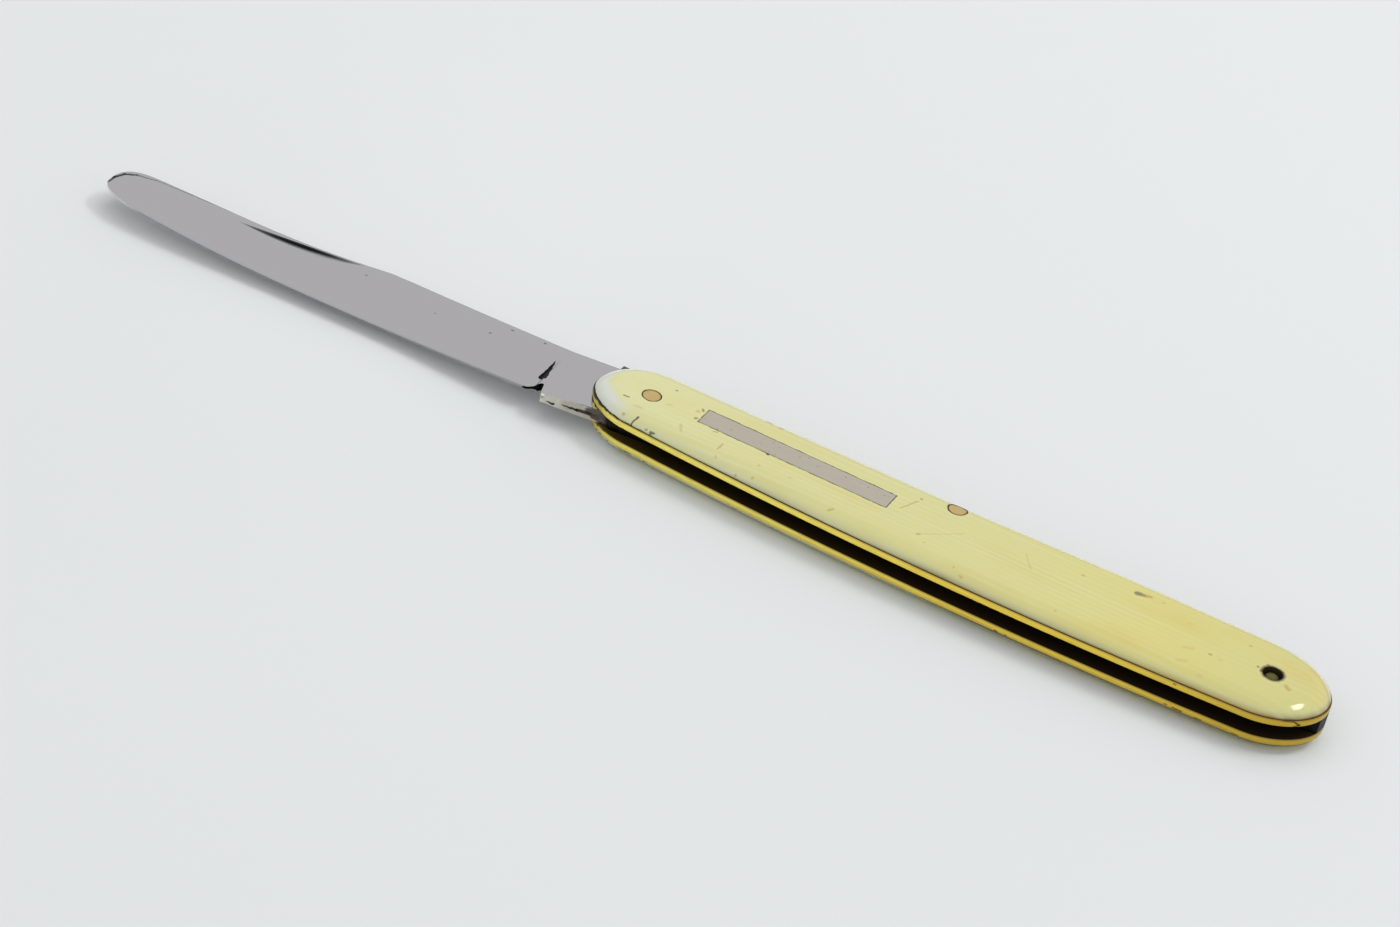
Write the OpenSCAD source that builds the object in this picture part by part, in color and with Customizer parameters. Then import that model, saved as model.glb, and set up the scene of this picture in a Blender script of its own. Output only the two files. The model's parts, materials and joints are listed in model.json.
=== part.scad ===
// Single-blade slip-joint pen knife, lying open on its back scale.
// Millimetres. The handle's long axis is X, with the blade towards -X and the butt towards +X.
// +Y is the back, where the spring is. The slot that the blade folds into faces -Y.
// The origin is the middle of the flat face that the knife lies on.
// Sizes along the knife are measured from the blade's pivot, on the line through pivot and end pin.

/* [Handle] */
// Length of the closed knife, from end to end
handle_len = 89.2; // [84:0.1:96]
// From the front end of the handle to the pivot
pivot_inset = 6.9; // [6.4:0.1:7.4]
// From the butt end of the handle to the end pin
end_pin_inset = 6.9; // [6.4:0.1:7.6]
// From the pin line to the slot edge where the handle is fullest
slot_edge = 7.2; // [6.8:0.1:7.8]
// How far the slot edge draws in between there and the pivot
slot_bow = 2.1; // [1:0.05:2.4]
// From the pivot to the fullest place of the slot edge
belly_x = 46; // [40:1:50]
// From the pin line to the back edge at the front
back_edge = 6.1; // [5.9:0.1:6.4]
// How much the back edge stands higher towards the butt
back_rise = 0.6; // [0:0.05:0.8]
// From the pivot to the place where that rise begins
rise_x = 32; // [20:1:40]
// Length over which the back edge rises
rise_len = 30; // [20:1:34]
// Length of the rounded front end
front_round = 6.4; // [5:0.1:7]
// Length of the rounded butt end, at the slot edge
butt_round = 7.5; // [6:0.1:9]
// Length of the rounded butt end, at the back edge
butt_slope = 8.6; // [6:0.1:10]

/* [Liners and scales] */
// Thickness of a brass liner
liner_t = 0.8; // [0.6:0.05:1]
// Thickness of a scale at its flat middle
scale_t = 1.35; // [1.2:0.05:1.8]
// How far the scales stay inside the liners' outline
scale_inset = 0.2; // [0.05:0.01:0.3]
// Width of a scale's rounded shoulder
shoulder_w = 2.4; // [1.6:0.1:2.8]
// Height of a scale's rounded shoulder
shoulder_h = 1.1; // [0.8:0.05:1.15]

/* [Back spring] */
// Thickness of the spring, which sets the width of the slot
spring_t = 1.8; // [1.5:0.05:2.2]
// From the pin line to the face of the spring that the tang works against
seat_y = 3.6; // [3.2:0.05:3.8]
// From the pivot forward to the spring's nose
nose_reach = 6.2; // [5.8:0.1:6.6]
// From the pin line to the back of the nose
nose_y = 5.9; // [5.6:0.05:6.1]
// How much deeper the spring is round the centre pin
spring_swell = 1.3; // [1.1:0.1:1.6]
// Length of that swelling, to each side of the centre pin
swell_reach = 20; // [14:1:24]
// Radius of the spring's tail round the end pin
tail_r = 3.2; // [2.6:0.1:3.6]
// Radius of the hollow between the tail and the arm
tail_hollow = 2.4; // [1.5:0.1:3]
// How far past the pin line the tail follows the butt
tail_wrap = 1.3; // [0.6:0.1:2]

/* [Pins] */
// Radius of the pivot pin
pivot_pin_r = 1.08; // [0.9:0.02:1.3]
// Radius of the centre pin
centre_pin_r = 1.08; // [0.9:0.02:1.3]
// Radius of the end pin
end_pin_r = 1.05; // [0.9:0.02:1.2]
// From the pivot back to the centre pin
centre_pin_x = 36.25; // [32:0.25:40]
// From the back edge in to the centre pin
centre_pin_in = 2.15; // [1.8:0.05:2.4]
// How far the pin heads lie below the scales
pin_sink = 0.03; // [0.01:0.01:0.1]
// How far the end pin lies below the front scale
end_pin_sink = 0.4; // [0.2:0.05:0.7]
// Radius of the worn tip of the end pin
end_pin_tip_r = 0.65; // [0.5:0.05:0.8]

/* [Blade] */
// From the pivot to the tip of the blade
blade_reach = 70.85; // [66:0.05:72]
// From the pin line to the blade's spine at its shoulder
spine_tang = 5.2; // [4.8:0.1:5.4]
// From the pin line to the spine where it starts to drop
spine_mid = 4.6; // [4.2:0.1:5]
// From the pin line to the spine at the tip
spine_tip = 2.85; // [2.4:0.05:3.4]
// From the pivot to the place where the spine starts to drop
drop_x = 35.5; // [30:0.5:40]
// Length over which the spine drops
drop_len = 18; // [12:1:24]
// From the pin line to the edge at the heel
edge_heel = 4.3; // [4.1:0.05:4.6]
// From the pin line to the edge where the blade is fullest
edge_belly = 5.35; // [5.1:0.05:5.8]
// From the pivot to the fullest place of the edge
edge_belly_x = 44; // [40:1:48]
// How much the edge rises from there to the rounded tip
edge_rise = 1.4; // [1:0.05:2]
// Length of the rounded tip
tip_round = 5.35; // [4:0.05:7]
// Thickness of the spine where the tang ends
spine_t = 1.0; // [0.8:0.05:1.2]
// Thickness of the spine at the tip
tip_t = 0.72; // [0.5:0.02:0.8]
// Thickness of the edge where the blade is fullest
edge_t = 0.16; // [0.1:0.02:0.3]

/* [Tang] */
// From the pivot to the plunge, where the ground faces begin
plunge_x = 12.2; // [12.1:0.1:13.5]
// Radius of the wheel that leaves the plunge
plunge_r = 0.6; // [0.4:0.1:1.6]
// From the pivot to the heel of the edge
heel_x = 13.7; // [13.2:0.1:15]
// From the pivot to the kick
kick_x = 11.3; // [10.8:0.1:11.6]
// From the pin line to the point of the kick
kick_y = 4.72; // [4.6:0.02:5]
// Radius on the corner of the kick
kick_r = 0.25; // [0.1:0.05:0.4]
// From the pin line to the bottom of the choil notch
notch_y = 2.9; // [2.6:0.1:3.4]
// From the pivot to the bottom of the choil notch
notch_x = 11.9; // [11.8:0.05:12.2]
// Radius of the bottom of the choil notch
notch_r = 0.25; // [0.15:0.05:0.35]
// Where the parallel part of the tang ends, from the pivot
bearing_x = 6; // [5:0.5:7]
// Radius of the tang's rounded end, which lifts the spring
cam_r = 4.1; // [3.9:0.05:4.4]
// From the pin line to the hollow in front of the closed flat
relief_y = 3.45; // [3.2:0.05:3.6]
// From the pivot to that hollow
relief_x = 4; // [3.6:0.1:5]
// Angle that the blade turns through from open to closed
close_angle = 174; // [170:1:176]

/* [Nail nick] */
// Length of the nail nick
nick_len = 15.8; // [12:0.2:18]
// Width of the nail nick
nick_w = 1.3; // [0.9:0.05:1.6]
// Depth of the nail nick
nick_depth = 0.34; // [0.2:0.02:0.4]
// From the pivot to the middle of the nail nick
nick_x = 46.95; // [42:0.05:50]
// From the pin line to the nick's upper lip, at its middle
nick_lip = 2.74; // [2.4:0.02:2.9]
// Slant of the upper lip
nick_slant = 7; // [0:0.5:8]

/* [Shield] */
// Length of the shield
shield_len = 23.4; // [16:0.1:28]
// Width of the shield
shield_w = 2.75; // [2:0.05:4]
// Thickness of the shield
shield_t = 0.6; // [0.4:0.05:0.8]
// From the pivot to the middle of the shield
shield_x = 18.05; // [16:0.05:22]
// From the pin line to the middle of the shield
shield_y = 0.35; // [-1:0.05:1]
// Slant of the shield, as it was let in by hand
shield_slant = -0.87; // [-2:0.01:2]
// Radius of a shield pin
shield_pin_r = 0.55; // [0.4:0.05:0.7]
// Distance between the two shield pins
shield_pin_gap = 15; // [10:0.5:18]

/* [Fits] */
// Gap between a moving face and the face beside it
side_clear = 0.05; // [0.03:0.01:0.08]
// Radial clearance of the blade on its pivot
run_clear = 0.04; // [0.02:0.01:0.08]
// Radial clearance of a pin in metal that it holds
pin_clear = 0.02; // [0.01:0.01:0.05]
// Radial gap round a pin in a scale
scale_clear = 0.08; // [0.05:0.01:0.12]
// Gap round the shield in its recess
shield_clear = 0.04; // [0.02:0.01:0.08]

/* [Hidden] */
$fn = 64;

// Ends of the handle and place of the end pin, from the pivot
front_x = -pivot_inset;
butt_x = handle_len - pivot_inset;
end_pin_x = butt_x - end_pin_inset;
end_y = 0.3;
// Levels, from the table up
back_liner_z = scale_t;
slot_z = back_liner_z + liner_t;
front_liner_z = slot_z + spring_t;
front_scale_z = front_liner_z + liner_t;
top_z = front_scale_z + scale_t;
blade_mid_z = slot_z + spring_t / 2;
// Middle of the face that the knife rests on
rest_x = (front_x + butt_x) / 2;
rest_y = (back_edge - slot_edge) / 2;
// Height of the centre pin above the pin line, and steps that draw the curves
centre_pin_y = back_y(centre_pin_x) - centre_pin_in;
end_steps = 16;
side_steps = 14;
shoulder_steps = 5;
// Amount by which a cutter reaches past what it cuts
past = 1;
steel = [0.68, 0.68, 0.70];
brass = [0.85, 0.72, 0.34];
ivory = [0.87, 0.86, 0.62];

function ease(t) = let (c = min(max(t, 0), 1)) c * c * (3 - 2 * c);
function polar(r, a) = [r * cos(a), r * sin(a)];

// Edges of the handle as heights over the pin line
function slot_y(x) = slot_bow * pow((x - belly_x) / belly_x, 2) - slot_edge;
function back_y(x) = back_edge + back_rise * ease((x - rise_x) / rise_len);
// Both edges draw together to one point at each end
function drawn_in(y, s) = end_y + (y - end_y) * s;

// Outline of the handle, anticlockwise from the front end's lowest quarter
front_join = front_x + front_round;
butt_join = butt_x - butt_round;
slope_join = butt_x - butt_slope;
handle_edge = concat(
    [for (i = [0 : end_steps - 1]) let (a = 90 * i / end_steps, x = front_join - front_round * cos(a))
        [x, drawn_in(slot_y(x), sin(a))]],
    [for (i = [0 : side_steps - 1]) let (x = front_join + (butt_join - front_join) * i / side_steps)
        [x, slot_y(x)]],
    [for (i = [0 : end_steps - 1]) let (a = 90 * i / end_steps, x = butt_join + butt_round * sin(a))
        [x, drawn_in(slot_y(x), cos(a))]],
    [for (i = [0 : end_steps - 1]) let (a = 90 * i / end_steps, x = slope_join + butt_slope * cos(a))
        [x, drawn_in(back_y(x), sin(a))]],
    [for (i = [0 : side_steps - 1]) let (x = slope_join - (slope_join - front_join) * i / side_steps)
        [x, back_y(x)]],
    [for (i = [0 : end_steps - 1]) let (a = 90 * i / end_steps, x = front_join - front_round * sin(a))
        [x, drawn_in(back_y(x), cos(a))]]
);
edge_n = len(handle_edge);

// The same outline drawn in by a distance, square to itself
function drawn_edge(inset) = [for (i = [0 : edge_n - 1])
    let (a = handle_edge[(i + edge_n - 1) % edge_n],
         b = handle_edge[(i + 1) % edge_n],
         t = (b - a) / norm(b - a))
    handle_edge[i] + inset * [-t[1], t[0]]];

// A shoulder is one arc, which runs smoothly into the flat: points as [inset, depth below the flat]
shoulder_r = (pow(shoulder_w, 2) + pow(shoulder_h, 2)) / (2 * shoulder_h);
shoulder_turn = asin(shoulder_w / shoulder_r);
shoulder_arc = [for (i = [0 : shoulder_steps]) let (a = shoulder_turn * (1 - i / shoulder_steps))
    [scale_inset + shoulder_w - shoulder_r * sin(a), shoulder_r * (1 - cos(a))]];
// Both shoulders in section, from below the rest face to above the top
function skin_section(sink) = concat(
    [[scale_inset + shoulder_w, -past]],
    [for (i = [shoulder_steps : -1 : 0]) [shoulder_arc[i][0], shoulder_arc[i][1] + sink]],
    [for (i = [0 : shoulder_steps]) [shoulder_arc[i][0], top_z - sink - shoulder_arc[i][1]]],
    [[scale_inset + shoulder_w, top_z + past]]);

// Closed skin lofted through the outline at each height of a section
module lofted(section) {
    m = len(section);
    points = [for (s = section, p = drawn_edge(s[0])) [p[0], p[1], s[1]]];
    bottom = [for (i = [0 : edge_n - 1]) i];
    top = [for (i = [edge_n - 1 : -1 : 0]) (m - 1) * edge_n + i];
    walls = [for (k = [0 : m - 2], i = [0 : edge_n - 1])
        let (j = (i + 1) % edge_n, a = k * edge_n + i, b = k * edge_n + j)
        each [[a, a + edge_n, b], [b, a + edge_n, b + edge_n]]];
    polyhedron(points, concat([bottom], [top], walls), convexity = 4);
}

module slab(z0, z1) {
    translate([front_x - past, -slot_edge - past, z0])
        cube([handle_len + 2 * past, slot_edge + back_edge + back_rise + 2 * past, z1 - z0]);
}

// Moves a piece from the pivot's axis to the middle of the rest face
module placed() {
    translate([-rest_x, -rest_y, 0]) children();
}

module bore(x, y, r) {
    translate([x, y, -past]) cylinder(h = top_z + 2 * past, r = r);
}

module pin_bores(clear) {
    bore(0, 0, pivot_pin_r + clear);
    bore(centre_pin_x, centre_pin_y, centre_pin_r + clear);
    bore(end_pin_x, 0, end_pin_r + clear);
}

// Puts its children at the shield's place, turned as the shield is
module at_shield(along) {
    translate([shield_x, shield_y, 0]) rotate([0, 0, shield_slant]) translate([along, 0, 0]) children();
}

module shield_pin_bores() {
    for (side = [-1, 1])
        at_shield(side * shield_pin_gap / 2)
            translate([0, 0, front_liner_z - past])
                cylinder(h = top_z - front_liner_z + past, r = shield_pin_r + pin_clear);
}

module liner(z) {
    translate([0, 0, z]) linear_extrude(liner_t) polygon(handle_edge);
}

module back_liner() {
    color(brass) placed() difference() {
        liner(back_liner_z);
        pin_bores(pin_clear);
    }
}

module front_liner() {
    color(brass) placed() difference() {
        liner(front_liner_z);
        pin_bores(pin_clear);
        shield_pin_bores();
    }
}

module back_scale() {
    color(ivory) placed() difference() {
        intersection() {
            lofted(skin_section(0));
            slab(0, scale_t);
        }
        pin_bores(scale_clear);
    }
}

module front_scale() {
    recess = shield_w + 2 * shield_clear;
    color(ivory) placed() difference() {
        intersection() {
            lofted(skin_section(0));
            slab(front_scale_z, top_z);
        }
        pin_bores(scale_clear);
        shield_pin_bores();
        at_shield(0) translate([-shield_len / 2 - shield_clear, -recess / 2, top_z - shield_t])
            cube([shield_len + 2 * shield_clear, recess, shield_t + past]);
    }
}

// Under face of the spring: level at both ends, deeper round the centre pin
function swell(x) = let (t = min(abs(x - centre_pin_x) / swell_reach, 1)) (1 + cos(180 * t)) / 2;
function under_y(x) = seat_y - spring_swell * swell(x);
hollow_y = seat_y - tail_hollow;
hollow_x = end_pin_x - sqrt(pow(tail_r + tail_hollow, 2) - pow(hollow_y, 2));
hollow_angle = atan2(hollow_y, end_pin_x - hollow_x);
// Angle round the end pin at which the tail's underside begins
tail_from = -60;
tail_turn = 180 + hollow_angle + tail_from;
// Where the rounded butt, at the slot side, is as low as the tail
wrap_x = butt_join + butt_round * sqrt(1 - pow((tail_wrap + end_y) / (end_y - slot_y(butt_x)), 2));
tail_steps = 12;
hollow_steps = 8;
under_steps = 24;
// Where the nose meets the back edge
nose_end_x = 4;

// Outline of the spring, clockwise from the nose
spring_edge = concat(
    [[-nose_reach, seat_y], [-nose_reach, nose_y]],
    [for (i = [0 : side_steps]) let (x = nose_end_x + (slope_join - nose_end_x) * i / side_steps)
        [x, back_y(x)]],
    [for (i = [1 : end_steps]) let (a = 90 * i / end_steps, x = slope_join + butt_slope * sin(a))
        [x, drawn_in(back_y(x), cos(a))]],
    [[wrap_x, -tail_wrap]],
    [for (i = [0 : tail_steps]) [end_pin_x, 0] + polar(tail_r, tail_from - tail_turn * i / tail_steps)],
    [for (i = [1 : hollow_steps]) let (a = (90 + hollow_angle) * i / hollow_steps - hollow_angle)
        [hollow_x, hollow_y] + polar(tail_hollow, a)],
    [for (i = [0 : under_steps]) let (x = centre_pin_x + swell_reach * (1 - 2 * i / under_steps))
        [x, under_y(x)]]
);

module back_spring() {
    color(steel) placed() difference() {
        translate([0, 0, slot_z]) linear_extrude(spring_t) polygon(spring_edge);
        bore(centre_pin_x, centre_pin_y, centre_pin_r + pin_clear);
        bore(end_pin_x, 0, end_pin_r + pin_clear);
    }
}

// Spine and edge of the blade as heights over the pin line, at a distance in front of the pivot
function spine_y(d) = d < drop_x
    ? spine_mid + (spine_tang - spine_mid) * pow((drop_x - d) / (drop_x - nose_reach), 2)
    : spine_mid - (spine_mid - spine_tip) * (1 - pow(max(1 - (d - drop_x) / drop_len, 0), 2));
function edge_y(d) = d < edge_belly_x
    ? (edge_belly - edge_heel) * pow((edge_belly_x - d) / (edge_belly_x - heel_x), 2) - edge_belly
    : edge_rise * pow((d - edge_belly_x) / (tip_start - edge_belly_x), 2) - edge_belly;
tip_start = blade_reach - tip_round;
// Level on which the rounded tip closes, and the fullness of its two corners
tip_y = -0.9;
spine_corner = 3;
edge_corner = 2.1;
function corner(t, p) = pow(1 - pow(t, p), 1 / p);

// The tang works against the spring with one flat when open and with another when closed
tang_y = seat_y - side_clear;
flat_end = sqrt(pow(cam_r, 2) - pow(tang_y, 2));
closed_flat = 3;
function opened(p) = [p[0] * cos(close_angle) + p[1] * sin(close_angle),
                      p[1] * cos(close_angle) - p[0] * sin(close_angle)];
cam_from = atan2(tang_y, flat_end);
cam_to = atan2(opened([-flat_end, tang_y])[1], opened([-flat_end, tang_y])[0]);
shoulder_x = -nose_reach - side_clear;
// How far the heel's corner is rounded back
heel_round = 0.5;
cam_steps = 12;
blade_steps = 24;
tip_steps = 14;

// Outline of the blade, clockwise from its shoulder: tang, kick, notch, edge, tip, spine
blade_edge = concat(
    [[shoulder_x, spine_tang], [shoulder_x, tang_y]],
    [for (i = [0 : cam_steps]) polar(cam_r, cam_from + (cam_to - cam_from) * i / cam_steps)],
    [opened([closed_flat, tang_y])],
    [[-relief_x, -relief_y]],
    [for (a = [-90 : -30 : -180]) [kick_r - kick_x, kick_r - kick_y] + polar(kick_r, a)],
    [for (a = [0 : 30 : 180]) [-notch_x, -notch_y - notch_r] + polar(notch_r, a)],
    [[heel_round - heel_x, heel_round / 4 - edge_heel]],
    [for (i = [0 : blade_steps - 1]) let (d = heel_x + (tip_start - heel_x) * i / blade_steps)
        [-d, edge_y(d)]],
    [for (i = [0 : tip_steps]) let (t = sin(90 * i / tip_steps), d = tip_start + tip_round * t)
        [-d, tip_y + (edge_y(d) - tip_y) * corner(t, edge_corner)]],
    [for (i = [tip_steps - 1 : -1 : 0]) let (t = sin(90 * i / tip_steps), d = tip_start + tip_round * t)
        [-d, tip_y + (spine_y(d) - tip_y) * corner(t, spine_corner)]],
    [for (i = [1 : blade_steps - 1]) let (d = tip_start + (nose_reach - tip_start) * i / blade_steps)
        [-d, spine_y(d)]]
);

// Reach of the cutters that shape the blade, to each side and upwards
cut_y = spine_tang + edge_belly;
cut_z = 2 * spring_t;

// Half thickness of the blank in side view: parallel tang, then two tapers
blank_side = [[cam_r + past, spring_t / 2 - side_clear], [-bearing_x, spring_t / 2 - side_clear],
              [-plunge_x, spine_t / 2], [-blade_reach - past, tip_t / 2]];

// Each ground face is one plane: height above the blade's middle is ground_h + ground_b x + ground_c y,
// set by the spine at the plunge, the spine at the tip and the edge where it is fullest
p1 = [-plunge_x, spine_y(plunge_x), spine_t / 2];
p2 = [-tip_start, spine_tip, tip_t / 2];
p3 = [-edge_belly_x, -edge_belly, edge_t / 2];
ground_n = cross(p2 - p1, p3 - p1);
ground_b = -ground_n[0] / ground_n[2];
ground_c = -ground_n[1] / ground_n[2];
ground_h = p1[2] - ground_b * p1[0] - ground_c * p1[1];
ground_len = norm([ground_b, ground_c, 1]);

// Puts its children on the ground face, with Z square to it
module on_ground_face() {
    translate([0, 0, ground_h]) rotate([asin(ground_c / ground_len), -atan(ground_b), 0]) children();
}

// What the wheel takes off one side, with the round that it leaves at the plunge
module ground_away() {
    wheel_x = -plunge_x - plunge_r;
    on_ground_face() {
        translate([-blade_reach - 2 * past, -cut_y, 0])
            cube([blade_reach + 2 * past + wheel_x, 2 * cut_y, cut_z]);
        translate([wheel_x, cut_y, plunge_r]) rotate([90, 0, 0]) cylinder(h = 2 * cut_y, r = plunge_r);
        translate([wheel_x, -cut_y, plunge_r]) cube([plunge_r, 2 * cut_y, cut_z - plunge_r]);
    }
}

// The nick is the cut of a coned wheel, square to the ground face, with its flat side towards the spine
module nick_cut() {
    wheel_r = (pow(nick_len / 2, 2) + pow(nick_depth, 2)) / (2 * nick_depth);
    reach = 2 * nick_w;
    on_ground_face() translate([-nick_x, nick_lip, wheel_r - nick_depth]) rotate([90, 0, nick_slant])
        cylinder(h = reach, r1 = wheel_r, r2 = wheel_r - reach * nick_depth / nick_w, $fn = 360);
}

module blade() {
    color(steel) placed() translate([0, 0, blade_mid_z]) difference() {
        intersection() {
            translate([0, 0, -spring_t]) linear_extrude(2 * spring_t) polygon(blade_edge);
            translate([0, cut_y, 0]) rotate([90, 0, 0]) linear_extrude(2 * cut_y)
                polygon(concat(blank_side, [for (i = [3 : -1 : 0]) [blank_side[i][0], -blank_side[i][1]]]));
        }
        ground_away();
        mirror([0, 0, 1]) ground_away();
        nick_cut();
        translate([0, 0, -spring_t]) cylinder(h = 2 * spring_t, r = pivot_pin_r + run_clear);
    }
}

module pivot_pin() {
    color(brass) placed()
        translate([0, 0, pin_sink]) cylinder(h = top_z - 2 * pin_sink, r = pivot_pin_r);
}

// The centre pin comes through the rounded shoulders, and is filed off with them
module centre_pin() {
    color(brass) placed() intersection() {
        translate([centre_pin_x, centre_pin_y, pin_sink])
            cylinder(h = top_z - 2 * pin_sink, r = centre_pin_r);
        lofted(skin_section(pin_sink));
    }
}

// The end pin's front head has worn down into its hole
module end_pin() {
    shank = front_scale_z + (top_z - end_pin_sink - front_scale_z) / 2;
    color(brass) placed() translate([end_pin_x, 0, 0]) {
        translate([0, 0, pin_sink]) cylinder(h = shank - pin_sink, r = end_pin_r);
        translate([0, 0, shank])
            cylinder(h = top_z - end_pin_sink - shank, r1 = end_pin_r, r2 = end_pin_tip_r);
    }
}

module shield() {
    color([0.69, 0.66, 0.62]) placed() at_shield(0)
        translate([-shield_len / 2, -shield_w / 2, top_z - shield_t])
            cube([shield_len, shield_w, shield_t]);
}

module shield_pin(side) {
    color(brass) placed() at_shield(side * shield_pin_gap / 2)
        translate([0, 0, front_liner_z + pin_sink])
            cylinder(h = top_z - shield_t - front_liner_z - pin_sink, r = shield_pin_r);
}

module shield_pin_front() {
    shield_pin(-1);
}

module shield_pin_rear() {
    shield_pin(1);
}

blade();
back_spring();
front_liner();
back_liner();
front_scale();
back_scale();
pivot_pin();
centre_pin();
end_pin();
shield();
shield_pin_front();
shield_pin_rear();
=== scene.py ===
# %% [markdown]
# # Dressing a slip-joint pen knife
#
# The knife lies open on its pile side: a mirror-polished stainless blade, a spring between two brass
# liners, and ivory-grained celluloid scales with a flush bar shield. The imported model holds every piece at
# its real size, so this lesson gives the pieces their finish, and cuts the liners and the scales once more
# with finer edges. It loads the model first and never moves it.

# %% Load the fixed frame, and see what is in it
import functools
import json
import math

import bmesh
import bpy
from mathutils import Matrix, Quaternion, Vector


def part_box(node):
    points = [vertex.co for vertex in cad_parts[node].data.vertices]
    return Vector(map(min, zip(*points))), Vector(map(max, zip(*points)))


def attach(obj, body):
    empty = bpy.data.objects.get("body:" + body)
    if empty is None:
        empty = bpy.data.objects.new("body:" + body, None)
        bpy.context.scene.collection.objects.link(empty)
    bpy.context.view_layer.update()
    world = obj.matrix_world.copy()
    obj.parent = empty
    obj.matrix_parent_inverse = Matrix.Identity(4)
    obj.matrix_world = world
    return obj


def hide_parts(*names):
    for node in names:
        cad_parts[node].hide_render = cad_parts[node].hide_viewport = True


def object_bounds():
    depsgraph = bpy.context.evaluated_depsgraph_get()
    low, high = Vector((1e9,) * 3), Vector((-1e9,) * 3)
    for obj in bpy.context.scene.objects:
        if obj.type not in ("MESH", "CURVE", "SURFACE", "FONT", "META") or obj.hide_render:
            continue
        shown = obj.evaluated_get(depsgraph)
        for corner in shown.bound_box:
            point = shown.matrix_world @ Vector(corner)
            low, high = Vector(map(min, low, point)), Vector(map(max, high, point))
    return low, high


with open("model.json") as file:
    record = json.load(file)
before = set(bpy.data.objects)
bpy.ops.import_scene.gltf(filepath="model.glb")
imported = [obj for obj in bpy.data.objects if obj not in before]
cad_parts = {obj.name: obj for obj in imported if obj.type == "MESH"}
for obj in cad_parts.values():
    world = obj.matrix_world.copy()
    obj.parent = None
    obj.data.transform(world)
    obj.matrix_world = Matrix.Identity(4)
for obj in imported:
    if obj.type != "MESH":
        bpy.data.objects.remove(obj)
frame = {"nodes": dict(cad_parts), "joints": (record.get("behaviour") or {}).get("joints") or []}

cad_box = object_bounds()
scene = bpy.context.scene
scene.view_settings.view_transform = "Standard"
MM = 0.001


def new_object(name, data):
    made = bpy.data.objects.new(name, data)
    scene.collection.objects.link(made)
    return made


print("nodes:", sorted(frame["nodes"]))
print("size in mm:", [round(x / MM, 2) for x in cad_box[1] - cad_box[0]])

# %% [markdown]
# ## The camera
#
# The photograph was taken with a long lens from in front of the knife, from above and a little to the
# right, with the camera tilted so that the knife runs down across the picture. A camera could be aimed with
# a constraint, but three plain angles are easier to read and to check. The place and the angles were worked
# out from the pins' heads, the shield's corners and the liners' edges.

# %% Stand the camera where the photographer stood
CAMERA_AT = Vector((94.176, -357.005, 267.235)) * MM
AZIMUTH, ELEVATION, ROLL = (math.radians(a) for a in (19.207, 35.189, 12.934))
SENSOR, FOCAL_LENGTH = 36.0, 106.926
camera = new_object("camera", bpy.data.cameras.new("camera"))
scene.camera = camera
camera.data.sensor_width = SENSOR
camera.data.lens = FOCAL_LENGTH
camera.data.clip_start = 10 * MM
backwards = Vector((math.sin(AZIMUTH) * math.cos(ELEVATION),
                    -math.cos(AZIMUTH) * math.cos(ELEVATION),
                    math.sin(ELEVATION)))
camera.location = CAMERA_AT
camera.rotation_mode = "QUATERNION"
camera.rotation_quaternion = backwards.to_track_quat("Z", "Y") @ Quaternion((0, 0, 1), ROLL)
print("camera is", round(CAMERA_AT.length / MM), "mm from the middle of the handle")

# %% [markdown]
# ## A helper for nodes
#
# Every material here is a small tree of nodes. Written out in full, each node takes five or six lines, so
# one helper adds a node, sets its properties and fills its inputs with values, sockets or other nodes.
# Colours are given as the hex values that a paint program shows, and one function turns them to the linear
# values that the shader needs. The trees do much arithmetic, so a kind in capitals, such as "ADD", stands
# for a Math node.

# %% Add a node, start a material, and turn a hex colour to linear
VECTOR, RANGE, MIX = "ShaderNodeVectorMath", "ShaderNodeMapRange", "ShaderNodeMix"
NOISE, SPLIT, JOIN = "ShaderNodeTexNoise", "ShaderNodeSeparateXYZ", "ShaderNodeCombineXYZ"
SMOOTH = {"interpolation_type": "SMOOTHSTEP"}


def add(tree, kind, inputs=(), **settings):
    """Adds a node of that kind, or for an operation in capitals a Math node set to it."""
    if kind.isupper():
        kind, settings = "ShaderNodeMath", {"operation": kind, **settings}
    node = tree.nodes.new(kind)
    for name, value in settings.items():
        setattr(node, name, value)
    pairs = inputs.items() if isinstance(inputs, dict) else enumerate(inputs)
    for key, value in pairs:
        if isinstance(value, bpy.types.Node):
            value = value.outputs[0]
        if isinstance(value, bpy.types.NodeSocket):
            tree.links.new(value, node.inputs[key])
        else:
            node.inputs[key].default_value = value
    return node


def new_material(name):
    """A material with an empty tree, that tree, and the helper bound to it."""
    made = bpy.data.materials.new(name)
    made.use_nodes = True
    made.node_tree.nodes.clear()
    return made, made.node_tree, functools.partial(add, made.node_tree)


def linear(code):
    parts = [int(code[i:i + 2], 16) / 255 for i in (1, 3, 5)]
    return [c / 12.92 if c <= 0.04045 else ((c + 0.055) / 1.055) ** 2.4 for c in parts] + [1.0]


print("mid grey is", [round(c, 3) for c in linear("#808080")])

# %% [markdown]
# ## Cloth, air and lamps
#
# The knife lies on a white cloth under a pale ceiling. The cloth stands up a little under the blade, which
# keeps the blade's shadow narrow, so a plain white sheet with one low fold stands in for it. A single image
# of a room could light the scene, but a world built from a few nodes is easier to reason about. The cloth
# and the ivory see a soft glow, which is strongest low down behind the knife. The metal mirrors a quiet
# grey room instead, with a dark strip low down on the far side that gives the polished steel an edge to
# show. Three lamps add the direction: one small and high on the right, for the highlight on the butt, and
# two broad ones, behind and overhead. The broad ones are kept out of reflections, because the mirrored room
# already holds their light.

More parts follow.
